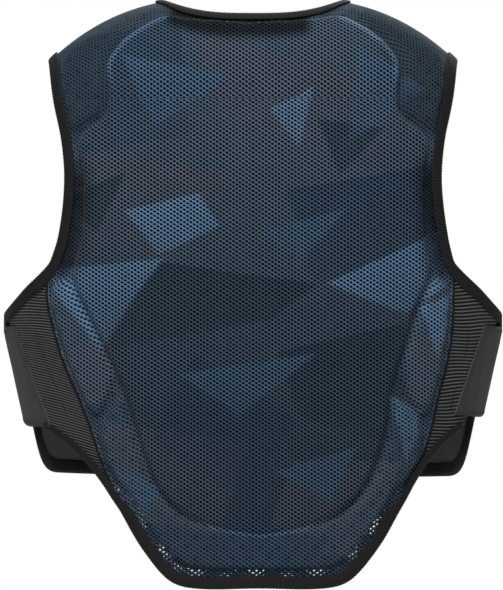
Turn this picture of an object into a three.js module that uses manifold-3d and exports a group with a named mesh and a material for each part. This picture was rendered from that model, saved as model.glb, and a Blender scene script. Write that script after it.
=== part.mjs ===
// Motorcycle protective vest, shown as it hangs on a body: a mesh back over a moulded protector, a padded
// front, stretch side panels, waist belts that wrap forward over the front, and folded tape on every edge.
// Millimetres, +Z up. The back faces -Y, the front +Y, and the wearer's right is +X.
// The origin lies midway between the shoulders, level with the straps' inner faces at half their length.
import * as THREE from "three";
import { mergeVertices } from "three/addons/utils/BufferGeometryUtils.js";
import manifoldModule from "manifold-3d";

const solids = await manifoldModule();
solids.setup();

// Cloth and tape
const CLOTH = 3; // wall of the mesh, the stretch cloth and the belts
const GAP = 0.4; // clearance between neighbouring pieces
const PAD_GAP = 0.7; // between the protector and the mesh over it
const FACE_GAP = 0.6; // between a cloth's faces and its tape
const RIM_GAP = 0.6; // between a cloth's cut edge and the fold of its tape
const TAPE = 1.6; // wall of the folded edge tape
const TAPE_WIDTH = 10.5; // how far the tape reaches in from the edge
const FLANGE = 13; // flat cloth along a taped edge
const MARGIN = 20; // from a panel's edge to its padding
const PIPING = { radius: 1.3, sides: 6, steps: 12, top: -265, foot: -436 };

// Shape of the body that the vest wraps
const ROUNDNESS = 2.5; // exponent of the level sections: 2 is an ellipse, more is squarer
const TURN_RUN = -80; // height where the panels start to turn over the shoulders
const RIDGE_TOP = 26; // height of the shoulder line at the neck's middle
const RIDGE_FALL = 7.67e-6; // times the cube of the distance from the middle
const NECK_HALF = 91.5;
const NECK_CORNER = 30; // the neck's tape reaches this far past the corner
const NECK_BACK = 69; // from the shoulder line to the neck's edge, behind and in front
const NECK_FRONT = 98;
const NECK_POWER = 4; // of the neck's curve: 2 is a parabola, more has a flatter middle

// Level sections: run is the height, half the half width, back and front the depths from the shoulder line
const BODY = [
  { run: -570, half: 197, back: 105, front: 98 },
  { run: -460, half: 209, back: 97, front: 106 },
  { run: -401, half: 221, back: 98, front: 108 },
  { run: -350, half: 232, back: 102, front: 111 },
  { run: -302, half: 242, back: 107, front: 115 },
  { run: -262, half: 243, back: 112, front: 118 },
  { run: -192, half: 236, back: 118, front: 119 },
  { run: -132, half: 230, back: 119, front: 115 },
  { run: -80, half: 224, back: 114, front: 106 },
];

// Sides of the back: the seam with the side panel, then the armhole. lean is how far the middle drifts sideways
const SEAM_FOOT = -490;
const ARMHOLE_FOOT = -242;
const BACK_SIDE = [
  { run: -566, half: 138, lean: 6.5 },
  { run: -520, half: 138, lean: 7 },
  { run: SEAM_FOOT, half: 138, lean: 7 },
  { run: -460, half: 151, lean: 7.5 },
  { run: -435, half: 161, lean: 8 },
  { run: -410, half: 169, lean: 8 },
  { run: -380, half: 178, lean: 5.5 },
  { run: -345, half: 190, lean: 2.5 },
  { run: -310, half: 198, lean: 0 },
  { run: -275, half: 202, lean: -3 },
  { run: ARMHOLE_FOOT, half: 199, lean: -1 },
  { run: -220, half: 193, lean: 0 },
  { run: -160, half: 186, lean: 0 },
  { run: -120, half: 189, lean: 0 },
  { run: TURN_RUN, half: 197, lean: 0 },
  { run: -12, half: 203.5, lean: 0 },
];

// The tail's hem: height at each distance from the middle
const BACK_HEM = [
  { away: 0, run: -566.3 },
  { away: 70, run: -565.8 },
  { away: 82, run: -562.8 },
  { away: 90.5, run: -558 },
  { away: 100.5, run: -548 },
  { away: 108, run: -538.7 },
  { away: 121.5, run: -519.5 },
  { away: 138, run: SEAM_FOOT },
];

// Sides of the front: a straight bound side, then the armhole
const FRONT_CORNER = -290;
const FRONT_HEM = -453.5; // at the sides; the middle hangs lower
const FRONT_HEM_DIP = 9;
const FRONT_HEM_TILT = -2.3; // at the right side, and as much the other way at the left
const FRONT_HEM_RADIUS = 48;
const FRONT_SIDE = [
  { run: -470, half: 206 },
  { run: -401, half: 220.8 },
  { run: -350, half: 231.8 },
  { run: FRONT_CORNER, half: 242.4 },
  { run: -280, half: 235 },
  { run: -265, half: 218 },
  { run: -240, half: 199 },
  { run: -220, half: 193 },
  { run: -160, half: 184 },
  { run: -120, half: 188 },
  { run: TURN_RUN, half: 197 },
  { run: -12, half: 203.5 },
];

// Pads that stand out under the mesh, drawn from behind on the right half; away is from the middle
const PAD_FLOOR = 5; // foam between the pads
const PAD_EDGE = 20; // length of a pad's rounded edge
const SPINE_PLATE = {
  rise: 15,
  outline: [
    { away: 0, z: -9 },
    { away: 88, z: -1 },
    { away: 130, z: -32 },
    { away: 141, z: -75 },
    { away: 166, z: -110 },
    { away: 166, z: -180 },
    { away: 180, z: -240 },
    { away: 158, z: -312 },
    { away: 129, z: -375 },
    { away: 116, z: -430 },
    { away: 88, z: -484 },
    { away: 42, z: -511 },
    { away: 0, z: -517 },
  ],
};
const SIDE_PAD = {
  rise: 12,
  outline: [
    { away: 171, z: -248 },
    { away: 190, z: -250 },
    { away: 194, z: -282 },
    { away: 182, z: -345 },
    { away: 160, z: -400 },
    { away: 141, z: -360 },
    { away: 164, z: -312 },
  ],
};
const LOWER_PAD = {
  rise: 11,
  outline: [
    { away: 136, z: -374 },
    { away: 160, z: -412 },
    { away: 146, z: -452 },
    { away: 119, z: -492 },
    { away: 84, z: -540 },
    { away: 60, z: -547 },
    { away: 0, z: -548 },
    { away: 0, z: -524 },
    { away: 44, z: -517 },
    { away: 94, z: -489 },
    { away: 122, z: -432 },
  ],
};
const SHOULDER_PAD = {
  rise: 8,
  outline: [
    { away: 99, z: 12 },
    { away: 99, z: 4 },
    { away: 136, z: -28 },
    { away: 147, z: -72 },
    { away: 181, z: -106 },
    { away: 190, z: -57 },
    { away: 190, z: 0 },
  ],
};
const CHEST_PLATE = {
  rise: 10,
  outline: [
    { away: 0, z: -70 },
    { away: 60, z: -62 },
    { away: 120, z: -90 },
    { away: 150, z: -140 },
    { away: 152, z: -220 },
    { away: 112, z: -300 },
    { away: 96, z: -400 },
    { away: 0, z: -420 },
  ],
};
const BACK_PADS = [SPINE_PLATE, SIDE_PAD, LOWER_PAD, SHOULDER_PAD];
const FRONT_PADS = [CHEST_PLATE, SHOULDER_PAD];

// Side panels and belts
const SIDE_TIP_RUN = -491; // lowest point of the side panel, beside the hem
const SIDE_TIP_WIDTH = 3;
const SIDE_FOOT_BULGE = 12; // how far the side panel's lower edge curves up
const SIDE_FRONT = { topAway: 241.8, topRun: -293, footAway: 206, footRun: -406 };
const SIDE_FOOT_SHARE = 0.55; // of the seam's rows, down to the side panel's lower front corner
const SIDE_RISEN = 1.1; // turn where the side panel has risen to the belt
const BELT_STAND = 9.4; // from the body to the belt's inner face
const BELT_START = { top: 73, foot: 61 }; // turns where the belt's slanted sewn end lies
const BELT_RIGHT_LIFT = 8; // how much higher the right belt's lower edge starts
// Belt: turn in degrees round from the middle of the back, with the heights of its two edges there
const BELT = [
  { turn: 60, top: -304, foot: -404 },
  { turn: 75, top: -305, foot: -401 },
  { turn: 90, top: -306, foot: -398 },
  { turn: 110, top: -309, foot: -394 },
  { turn: 130, top: -315, foot: -386 },
  { turn: 137, top: -321, foot: -380 },
  { turn: 140, top: -331, foot: -370 },
];

// Grid of a panel
const COLUMN_STEPS = 20; // between the padding's two sides, closer together towards them
const NECK_STEPS = 6; // of those, from the padding's side to the neck's corner
// low rows reach the armhole's foot, middle ones the shoulder, high ones the top; ease above 1 crowds the foot
const BACK_ROWS = { low: 11, middle: 5, high: 3, ease: 1 };
const FRONT_ROWS = { low: 3, middle: 6, high: 3, ease: 1.5 };
const SHOULDER_RUN = -104; // above this the rows fan out over the shoulders
const LONGEST_STRETCH = 2.4; // of a flange that is measured aslant
const SHOULDER_STRETCH = 0.35; // of the flange along the shoulder seam
const SIDE_STEPS = 5;
const BELT_STEPS = { round: 14, down: 3 };
const TAPE_TOLERANCE = 0.15;

const QUARTER = Math.PI / 2;
const lerp = THREE.MathUtils.lerp;

// Smooth value of a table's column at a place along its first-named key
function read(table, key, column, at) {
  const last = table.length - 1;
  if (at <= table[0][key]) return table[0][column];
  if (at >= table[last][key]) return table[last][column];
  const i = table.findIndex((row) => row[key] > at) - 1;
  const slope = (a, b) => (table[b][column] - table[a][column]) / (table[b][key] - table[a][key]);
  const step = table[i + 1][key] - table[i][key];
  const here = slope(i, i + 1);
  const tangent = (a) => (a > 0 && a < last ? (slope(a - 1, a) + slope(a, a + 1)) / 2 : here);
  const t = (at - table[i][key]) / step;
  const t2 = t * t;
  const t3 = t2 * t;
  return (
    (2 * t3 - 3 * t2 + 1) * table[i][column] +
    (t3 - 2 * t2 + t) * step * tangent(i) +
    (3 * t2 - 2 * t3) * table[i + 1][column] +
    (t3 - t2) * step * tangent(i + 1)
  );
}

// Body surface
const ridge = (across) => RIDGE_TOP - RIDGE_FALL * Math.abs(across) ** 3;
const overShoulder = (depth, rise) => QUARTER * Math.sqrt((depth * depth + rise * rise) / 2);

// A point on the body. turn goes round from the middle of the back by way of the right side;
// run is the height up to TURN_RUN, and the length of cloth from there on
function bodyPoint(turn, run) {
  const level = Math.min(run, TURN_RUN);
  const side = Math.sin(turn);
  const front = Math.cos(turn) < 0;
  const across = Math.sign(side) * read(BODY, "run", "half", level) * Math.abs(side) ** (2 / ROUNDNESS);
  const reach = front ? read(BODY, "run", "front", level) : -read(BODY, "run", "back", level);
  const depth = reach * Math.abs(Math.cos(turn)) ** (2 / ROUNDNESS);
  if (run <= TURN_RUN) return new THREE.Vector3(across, depth, run);
  const rise = ridge(across) - TURN_RUN;
  const angle = QUARTER * Math.min(1, (run - TURN_RUN) / overShoulder(depth, rise));
  return new THREE.Vector3(across, depth * Math.cos(angle), TURN_RUN + rise * Math.sin(angle));
}

function bodyNormal(turn, run) {
  const aside = 0.002;
  const above = 0.5;
  const round = bodyPoint(turn + aside, run).sub(bodyPoint(turn - aside, run));
  const up = bodyPoint(turn, run + above).sub(bodyPoint(turn, run - above));
  return round.cross(up).normalize();
}

const standOff = (turn, run, out) => bodyPoint(turn, run).addScaledVector(bodyNormal(turn, run), out);

// The turn, on the back half, of a point that far across
function turnAt(across, run) {
  const share = Math.min(1, Math.abs(across) / read(BODY, "run", "half", Math.min(run, TURN_RUN)));
  return Math.sign(across) * Math.asin(share ** (ROUNDNESS / 2));
}

// How far across a point lies that is the given distance along the cloth from the edge, towards the middle
function insetAcross(edge, run, distance) {
  const start = bodyPoint(turnAt(edge, run), run);
  let near = edge;
  let far = edge * 0.5;
  for (let i = 0; i < 30; i++) {
    const middle = (near + far) / 2;
    if (bodyPoint(turnAt(middle, run), run).distanceTo(start) < distance) near = middle;
    else far = middle;
  }
  return near;
}

// Run of a panel's top edge: the neck's edge, or the shoulder line beyond it
function topRun(across, isFront) {
  const turn = turnAt(across, TURN_RUN);
  const depth = Math.abs(bodyPoint(isFront ? Math.PI - turn : turn, TURN_RUN).y);
  const length = overShoulder(depth, ridge(across) - TURN_RUN);
  if (Math.abs(across) >= NECK_HALF) return TURN_RUN + length;
  const neck = (isFront ? NECK_FRONT : NECK_BACK) * (1 - (across / NECK_HALF) ** NECK_POWER);
  return TURN_RUN + (length * Math.acos(Math.min(1, neck / depth))) / QUARTER;
}

// How much longer than the tape's width a length down the cloth is, where the neck's edge slopes.
// The shoulder seam beyond the neck has no tape, and its padding comes closer
function topStretch(across, isFront) {
  const away = Math.abs(across);
  if (away > NECK_HALF + NECK_CORNER) return SHOULDER_STRETCH;
  const inside = Math.min(away, NECK_HALF - 2);
  const slope = (topRun(inside + 2, isFront) - topRun(inside - 2, isFront)) / 4;
  return Math.min(LONGEST_STRETCH, Math.hypot(1, slope));
}

// Pads

// A pad's whole outline: the right half through its points, mirrored if it meets the middle
function padLoop(pad) {
  const right = pad.outline.map((p) => new THREE.Vector2(p.away, p.z));
  const mirrored = pad.outline[0].away === 0;
  return mirrored ? right.concat(right.map((p) => new THREE.Vector2(-p.x, p.y)).reverse()) : right;
}
const padLoops = new Map(
  [...BACK_PADS, ...FRONT_PADS].map((pad) => [pad, padLoop(pad)]),
);

// Distance into a loop from its nearest side, negative outside
function depthInside(loop, x, z) {
  let nearest = Infinity;
  let inside = false;
  loop.forEach((a, i) => {
    const b = loop[(i + 1) % loop.length];
    const span = (b.x - a.x) ** 2 + (b.y - a.y) ** 2;
    const along = span ? ((x - a.x) * (b.x - a.x) + (z - a.y) * (b.y - a.y)) / span : 0;
    const t = THREE.MathUtils.clamp(along, 0, 1);
    nearest = Math.min(nearest, Math.hypot(x - lerp(a.x, b.x, t), z - lerp(a.y, b.y, t)));
    if (a.y > z !== b.y > z && x < lerp(a.x, b.x, (z - a.y) / (b.y - a.y))) inside = !inside;
  });
  return inside ? nearest : -nearest;
}

function padRise(pads, across, z) {
  const rises = pads.map((pad) => {
    const loop = padLoops.get(pad);
    const x = pad.outline[0].away === 0 ? across : Math.abs(across);
    const share = THREE.MathUtils.clamp(depthInside(loop, x, z) / PAD_EDGE, 0, 1);
    return pad.rise * Math.sqrt(1 - (1 - share) ** 2);
  });
  return Math.max(PAD_FLOOR, ...rises);
}

// Solids

// A solid from points and triangles, turned so that its faces look out
function solidOf(points, triangles) {
  const volume = triangles.reduce((sum, [a, b, c]) => {
    return sum + points[a].dot(points[b].clone().cross(points[c]));
  }, 0);
  const rough = new THREE.BufferGeometry();
  rough.setAttribute("position", new THREE.Float32BufferAttribute(points.flatMap((p) => p.toArray()), 3));
  rough.setIndex(triangles.flatMap(([a, b, c]) => (volume > 0 ? [a, b, c] : [a, c, b])));
  const merged = mergeVertices(rough, 1e-3);
  const mesh = new solids.Mesh({
    numProp: 3,
    vertProperties: merged.attributes.position.array,
    triVerts: new Uint32Array(merged.index.array),
  });
  return new solids.Manifold(mesh);
}

function geometryOf(solid) {
  const { vertProperties, triVerts } = solid.getMesh();
  const geometry = new THREE.BufferGeometry();
  geometry.setAttribute("position", new THREE.Float32BufferAttribute(vertProperties, 3));
  geometry.setIndex(Array.from(triVerts));
  geometry.computeVertexNormals();
  return geometry;
}

const largestBody = (solid) => solid.decompose().reduce((a, b) => (a.volume() > b.volume() ? a : b));

// A wall between two grids of points, closed along its rim
function wall(outer, inner) {
  const rows = outer.length;
  const columns = outer[0].length;
  const points = [...outer.flat(), ...inner.flat()];
  const at = (layer, r, c) => layer * rows * columns + r * columns + c;
  const triangles = [];
  const quad = (a, b, c, d) => triangles.push([a, b, c], [a, c, d]);
  for (let r = 0; r + 1 < rows; r++) {
    for (let c = 0; c + 1 < columns; c++) {
      const corners = [[r, c], [r, c + 1], [r + 1, c + 1], [r + 1, c]];
      if (2 * c >= columns - 1) corners.push(corners.shift());
      quad(...corners.map(([y, x]) => at(0, y, x)));
      quad(...[0, 3, 2, 1].map((k) => at(1, ...corners[k])));
    }
  }
  const rim = [
    ...outer[0].map((_, c) => [0, c]),
    ...outer.slice(1).map((_, r) => [r + 1, columns - 1]),
    ...outer[0].slice(1).map((_, c) => [rows - 1, columns - 2 - c]),
    ...outer.slice(2).map((_, r) => [rows - 2 - r, 0]),
  ];
  rim.forEach(([r, c], i) => {
    const [r2, c2] = rim[(i + 1) % rim.length];
    quad(at(0, r, c), at(1, r, c), at(1, r2, c2), at(0, r2, c2));
  });
  return solidOf(points, triangles);
}

// A section swept through frames of an origin and two axes; an open sweep gets flat ends
function sweep(frames, section, closed) {
  const size = section.length;
  const points = frames.flatMap((f) =>
    section.map((s) => f.origin.clone().addScaledVector(f.inward, s.x).addScaledVector(f.normal, s.y)),
  );
  const triangles = [];
  const count = closed ? frames.length : frames.length - 1;
  for (let i = 0; i < count; i++) {
    const next = (i + 1) % frames.length;
    for (let k = 0; k < size; k++) {
      const k2 = (k + 1) % size;
      const [a, b, c, d] = [i * size + k, i * size + k2, next * size + k2, next * size + k];
      triangles.push([a, b, c], [a, c, d]);
    }
  }
  if (!closed) {
    const end = (frames.length - 1) * size;
    const clockwise = THREE.ShapeUtils.isClockWise(section);
    THREE.ShapeUtils.triangulateShape(section, []).forEach(([a, b, c]) => {
      const cap = clockwise ? [a, c, b] : [a, b, c];
      triangles.push([cap[0], cap[2], cap[1]], cap.map((k) => end + k));
    });
  }
  return solidOf(points, triangles);
}

// Folded tape: a bar along the edge, less the cloth that it holds and the clearance round it
function tape(edge, cloths, closed = false) {
  const low = -FACE_GAP - TAPE;
  const high = CLOTH + FACE_GAP + TAPE;
  const section = [
    new THREE.Vector2(low, low),
    new THREE.Vector2(TAPE_WIDTH, low),
    new THREE.Vector2(TAPE_WIDTH, high),
    new THREE.Vector2(low, high),
  ];
  const bar = sweep(edgeFrames(edge, closed), section, closed);
  return largestBody(cloths.reduce((rest, cloth) => rest.subtract(cloth), bar)).simplify(TAPE_TOLERANCE);
}

// Frames along an edge, from its points, its cloth normals and points inside it. Where those lie on the
// grid's own flange the frame leans with it; elsewhere it stands square to the edge
function edgeFrames(edge, closed) {
  const last = edge.length - 1;
  return edge.map((e, i) => {
    const before = edge[i > 0 ? i - 1 : closed ? last : 0].point;
    const after = edge[i < last ? i + 1 : closed ? 0 : last].point;
    const along = after.clone().sub(before).normalize();
    const inward = e.inside.clone().sub(e.point);
    if (e.onGrid) return { origin: e.point, inward: inward.divideScalar(FLANGE), normal: e.normal };
    inward.addScaledVector(along, -inward.dot(along)).normalize();
    const normal = along.clone().cross(inward).normalize();
    if (normal.dot(e.normal) < 0) normal.negate();
    return { origin: e.point, inward, normal };
  });
}

// Panels

// A panel's grid: each cell holds its point on the body, its normal, and where it lies from the middle
function panelGrid({ isFront, sideAt, leanAt, hemRun, rows, middleRun }) {
  const cellAt = (run, place) => {
    const lean = leanAt(run);
    const across = lean + place(sideAt(run), run, lean);
    const turn = turnAt(across, run);
    return { run, across, away: across - lean, turn: isFront ? Math.PI - turn : turn };
  };
  const insetBy = (distance, sign) => (half, run, lean) => insetAcross(lean + sign * half, run, distance) - lean;
  const inner = Array.from({ length: COLUMN_STEPS + 1 }, (_, i) => {
    const even = (2 * i) / COLUMN_STEPS - 1;
    const share = (even + Math.sin(QUARTER * even)) / 2;
    return (half, run, lean) => Math.abs(share) * insetBy(MARGIN, Math.sign(share) || 1)(half, run, lean);
  });
  const places = [
    (half) => -half,
    insetBy(FLANGE, -1),
    ...inner,
    insetBy(FLANGE, 1),
    (half) => half,
  ];
  const upTo = (steps, from, to, ease = 1) =>
    Array.from({ length: steps }, (_, i) => ({ from, to, share: ((i + 1) / steps) ** ease }));
  const levels = [
    { from: "hem", to: "hem", share: 0 },
    { from: "flange", to: "flange", share: 0 },
    { from: "margin", to: "margin", share: 0 },
    ...upTo(rows.low, "margin", "middle"),
    ...upTo(rows.middle, "middle", "shoulder", rows.ease),
    ...upTo(rows.high, "shoulder", "topMargin"),
    { from: "topFlange", to: "topFlange", share: 0 },
    { from: "top", to: "top", share: 0 },
  ];
  // Each column's own hem and top, found by following the column down and up
  const columns = places.map((place, c) => {
    let foot = cellAt(middleRun, place);
    let head = cellAt(TURN_RUN, place);
    for (let i = 0; i < 8; i++) {
      foot = cellAt(hemRun(foot, c, places.length).run, place);
      head = cellAt(topRun(head.across, isFront), place);
    }
    const hem = hemRun(foot, c, places.length);
    const topStep = topStretch(head.across, isFront);
    const marks = {
      hem: hem.run,
      flange: hem.run + FLANGE * hem.stretch,
      margin: hem.run + MARGIN * hem.stretch,
      middle: middleRun,
      shoulder: SHOULDER_RUN,
      topMargin: head.run - MARGIN * topStep,
      topFlange: head.run - FLANGE * topStep,
      top: head.run,
    };
    return { place, marks };
  });
  return levels.map((level) =>
    columns.map(({ place, marks }) => {
      const cell = cellAt(lerp(marks[level.from], marks[level.to], level.share), place);
      return { ...cell, point: bodyPoint(cell.turn, cell.run), normal: bodyNormal(cell.turn, cell.run) };
    }),
  );
}

const padded = (grid, r, c) => r > 1 && r < grid.length - 2 && c > 1 && c < grid[0].length - 2;
const offset = (cell, out) => cell.point.clone().addScaledVector(cell.normal, out);

// How far the outer face stands from the body at each cell
function thickness(grid, pads) {
  return grid.map((row, r) =>
    row.map((cell, c) => {
      return CLOTH + (padded(grid, r, c) ? padRise(pads, cell.away, cell.point.z) : 0);
    }),
  );
}

const backSide = (run) => read(BACK_SIDE, "run", "half", run);
const backLean = (run) => read(BACK_SIDE, "run", "lean", run);
const frontSide = (run) => read(FRONT_SIDE, "run", "half", run);

// Height of the tail's hem, and how much longer than the tape a length up the cloth is there
function backHemRun(cell) {
  const away = Math.abs(cell.away);
  const run = read(BACK_HEM, "away", "run", away);
  const slope = (read(BACK_HEM, "away", "run", away + 2) - read(BACK_HEM, "away", "run", away - 2)) / 4;
  return { run, stretch: Math.min(LONGEST_STRETCH, Math.hypot(1, slope)) };
}

function frontHemRun(cell, c, columns) {
  const side = bodyPoint(Math.PI - turnAt(frontSide(FRONT_HEM), FRONT_HEM), FRONT_HEM);
  const here = bodyPoint(cell.turn, FRONT_HEM);
  const atEdge = c === 0 || c === columns - 1;
  const fromSide = atEdge ? 0 : Math.hypot(side.x - Math.abs(here.x), side.y - here.y);
  const short = Math.max(0, FRONT_HEM_RADIUS - fromSide);
  const lift = FRONT_HEM_RADIUS - Math.sqrt(FRONT_HEM_RADIUS ** 2 - short ** 2);
  const dip = FRONT_HEM_DIP * Math.cos(QUARTER * Math.min(1, Math.abs(here.x) / side.x));
  const tilt = FRONT_HEM_TILT * THREE.MathUtils.clamp(here.x / side.x, -1, 1);
  return { run: FRONT_HEM + tilt - dip + lift, stretch: 1 };
}

const backGrid = panelGrid({
  isFront: false,
  sideAt: backSide,
  leanAt: backLean,
  hemRun: backHemRun,
  rows: BACK_ROWS,
  middleRun: ARMHOLE_FOOT,
});
const frontGrid = panelGrid({
  isFront: true,
  sideAt: frontSide,
  leanAt: () => 0,
  hemRun: frontHemRun,
  rows: FRONT_ROWS,
  middleRun: FRONT_CORNER,
});
const backThickness = thickness(backGrid, BACK_PADS);
const frontThickness = thickness(frontGrid, FRONT_PADS);

// The mesh back lies over the protector, and on the body beyond it
function backCover() {
  const outer = backGrid.map((row, r) => row.map((cell, c) => offset(cell, backThickness[r][c])));
  const inner = backGrid.map((row, r) => row.map((cell, c) => offset(cell, backThickness[r][c] - CLOTH)));
  return wall(outer, inner);
}

function backProtector() {
  const core = (list) => list.slice(2, -2);
  const cells = core(backGrid).map(core);
  const depths = core(backThickness).map(core);
  const outer = cells.map((row, r) => row.map((cell, c) => offset(cell, depths[r][c] - CLOTH - PAD_GAP)));
  const inner = cells.map((row) => row.map((cell) => offset(cell, 0)));
  return wall(outer, inner);
}

function frontPanel() {
  const outer = frontGrid.map((row, r) => row.map((cell, c) => offset(cell, frontThickness[r][c])));
  return wall(outer, frontGrid.map((row) => row.map((cell) => offset(cell, 0))));
}

// The room that a panel needs: its wall grown by the gap on both faces and round its rim
function clearance(grid, depthAt) {
  const grown = (outAt) =>
    grid.map((row, r) =>
      row.map((cell, c) => {
        const nearRow = THREE.MathUtils.clamp(r, 1, grid.length - 2);
        const nearColumn = THREE.MathUtils.clamp(c, 1, row.length - 2);
        const inside = grid[nearRow][nearColumn];
        const point = offset(cell, outAt(r, c));
        if (inside === cell) return point;
        return point.addScaledVector(cell.point.clone().sub(inside.point).normalize(), RIM_GAP);
      }),
    );
  return wall(
    grown((r, c) => depthAt(r, c) + FACE_GAP),
    grown(() => -FACE_GAP),
  );
}

// Edges of a panel's grid as lists for edgeFrames
const edgeOf = (cell, inside) => ({ point: cell.point, normal: cell.normal, inside: inside.point });
const rowEdge = (grid, r, from, to) =>
  grid[r].slice(from, to).map((cell, i) => {
    return { ...edgeOf(cell, grid[r === 0 ? 1 : r - 1][from + i]), onGrid: true };
  });

const sideEdge = (grid, sign, from, to) =>
  grid.slice(from, to).map((row) => {
    const c = sign < 0 ? 0 : row.length - 1;
    return edgeOf(row[c], row[c - sign]);
  });

// Side panels

// The stretch panel beside the back: one row for each row of the seam, from the armhole to the tip.
// It leaves the seam flush with the back and rises to pass outside the front's bound side
function sideGrid(sign) {
  const lastRow = 3 + BACK_ROWS.low;
  const seamRuns = backGrid.slice(0, lastRow).map((row) => row[0].run).reverse();
  const footRow = Math.round(SIDE_FOOT_SHARE * (lastRow - 1));
  return seamRuns.map((seamRun, r) => {
    const seam = Math.abs(backLean(seamRun) + sign * backSide(seamRun)) + GAP;
    const down = r / footRow;
    const pastFoot = (r - footRow) / (lastRow - 1 - footRow);
    const frontAway =
      down <= 1
        ? lerp(SIDE_FRONT.topAway, SIDE_FRONT.footAway, down)
        : lerp(SIDE_FRONT.footAway, seam + SIDE_TIP_WIDTH, pastFoot);
    const frontRun =
      down <= 1
        ? lerp(SIDE_FRONT.topRun, SIDE_FRONT.footRun, down)
        : lerp(SIDE_FRONT.footRun, SIDE_TIP_RUN, pastFoot) + 4 * SIDE_FOOT_BULGE * pastFoot * (1 - pastFoot);
    return Array.from({ length: SIDE_STEPS + 1 }, (_, i) => {
      const share = i / SIDE_STEPS;
      const run = lerp(seamRun, frontRun, share);
      const turn = turnAt(lerp(seam, frontAway, share), run);
      const risen = THREE.MathUtils.smoothstep(turn, turnAt(seam, run), SIDE_RISEN);
      const rise = (BELT_STAND - 3 * GAP - CLOTH) * risen;
      const normal = bodyNormal(sign * turn, run);
      return { point: bodyPoint(sign * turn, run).addScaledVector(normal, rise), normal };
    });
  });
}

const sideOuter = (grid) => grid.map((row) => row.map((cell) => offset(cell, CLOTH)));
const sidePanel = (grid) => wall(sideOuter(grid), grid.map((row) => row.map((cell) => cell.point)));

// Belts

function belt(sign) {
  const last = BELT[BELT.length - 1].turn;
  const lift = sign > 0 ? BELT_RIGHT_LIFT : 0;
  const layer = (out) =>
    Array.from({ length: BELT_STEPS.round + 1 }, (_, i) =>
      Array.from({ length: BELT_STEPS.down + 1 }, (_, k) => {
        const share = k / BELT_STEPS.down;
        const along = Math.sin((QUARTER * i) / BELT_STEPS.round);
        const degrees = lerp(lerp(BELT_START.top, BELT_START.foot, share), last, along);
        const top = read(BELT, "turn", "top", degrees);
        const foot = read(BELT, "turn", "foot", degrees) + lift * (1 - along);
        return standOff(sign * THREE.MathUtils.degToRad(degrees), lerp(top, foot, share), out);
      }),
    );
  return wall(layer(BELT_STAND + CLOTH), layer(BELT_STAND));
}

// Piping along the seam, on top of the cloth
function piping(sign) {
  const cells = Array.from({ length: PIPING.steps + 1 }, (_, i) => {
    const run = lerp(PIPING.top, PIPING.foot, i / PIPING.steps);
    const across = backLean(run) + sign * backSide(run);
    const turn = turnAt(across, run);
    const inside = bodyPoint(turnAt(insetAcross(across, run, FLANGE), run), run);
    return { point: bodyPoint(turn, run), normal: bodyNormal(turn, run), inside };
  });
  const frames = edgeFrames(cells, false).map((frame) => ({
    ...frame,
    origin: frame.origin.clone().addScaledVector(frame.normal, CLOTH + PIPING.radius + GAP),
  }));
  const section = Array.from({ length: PIPING.sides }, (_, i) => {
    const angle = (4 * QUARTER * i) / PIPING.sides;
    return new THREE.Vector2(PIPING.radius * Math.cos(angle), PIPING.radius * Math.sin(angle));
  });
  return sweep(frames, section, false);
}

// Edges that carry tape

const BACK_TOP = backGrid.length - 1;
const FRONT_TOP = frontGrid.length - 1;
const RIGHT = backGrid[0].length - 1;
const NECK_FROM = 2 + NECK_STEPS;
const NECK_TO = RIGHT - NECK_FROM;
const BACK_MIDDLE = 2 + BACK_ROWS.low;
const FRONT_MIDDLE = 2 + FRONT_ROWS.low;

const sides = { left: sideGrid(-1), right: sideGrid(1) };
const rooms = {
  back: clearance(backGrid, (r, c) => backThickness[r][c]),
  front: clearance(frontGrid, (r, c) => frontThickness[r][c]),
  left: clearance(sides.left, () => CLOTH),
  right: clearance(sides.right, () => CLOTH),
};

const sideTopEdge = (grid) => grid[0].map((cell, i) => edgeOf(cell, grid[1][i]));
const sideFootEdge = (grid) => {
  const footRow = Math.round(SIDE_FOOT_SHARE * (grid.length - 1));
  return grid.slice(footRow + 1, -1).map((row) => edgeOf(row[SIDE_STEPS], row[SIDE_STEPS - 1]));
};

function armholeTape(sign, name) {
  const behind = sideEdge(backGrid, sign, BACK_MIDDLE + 1);
  const ahead = sideEdge(frontGrid, sign, FRONT_MIDDLE).reverse();
  const edge = [...sideTopEdge(sides[name]).reverse(), ...behind, ...ahead.slice(1)];
  return tape(edge, [rooms[name], rooms.back, rooms.front]);
}

function hemTape() {
  const tail = rowEdge(backGrid, 0, 0, RIGHT + 1);
  const edge = [...sideFootEdge(sides.left), ...tail, ...sideFootEdge(sides.right).reverse()];
  return tape(edge, [rooms.left, rooms.back, rooms.right]);
}

function frontTape() {
  const side = (sign) => sideEdge(frontGrid, sign, 1, FRONT_MIDDLE);
  const edge = [...side(-1).reverse(), ...rowEdge(frontGrid, 0, 0, RIGHT + 1), ...side(1)];
  return tape(edge, [rooms.front]);
}

function neckTape() {
  const top = backGrid[BACK_TOP];
  const behind = rowEdge(backGrid, BACK_TOP, NECK_FROM + 1, NECK_TO);
  const ahead = rowEdge(frontGrid, FRONT_TOP, NECK_FROM + 1, NECK_TO).reverse();
  const left = edgeOf(top[NECK_FROM], top[NECK_FROM - 1]);
  const right = edgeOf(top[NECK_TO], top[NECK_TO + 1]);
  return tape([left, ...behind, right, ...ahead], [rooms.back, rooms.front], true);
}

// Looks
const LOOKS = {
  mesh: { color: 0x3f4d5a, roughness: 0.9 },
  foam: { color: 0x16181b, roughness: 0.95 },
  stretch: { color: 0x343536, roughness: 0.85 },
  belt: { color: 0x3a3b3c, roughness: 0.9 },
  tape: { color: 0x202021, roughness: 0.85 },
  piping: { color: 0x0c0c0d, roughness: 0.7 },
};

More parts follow.
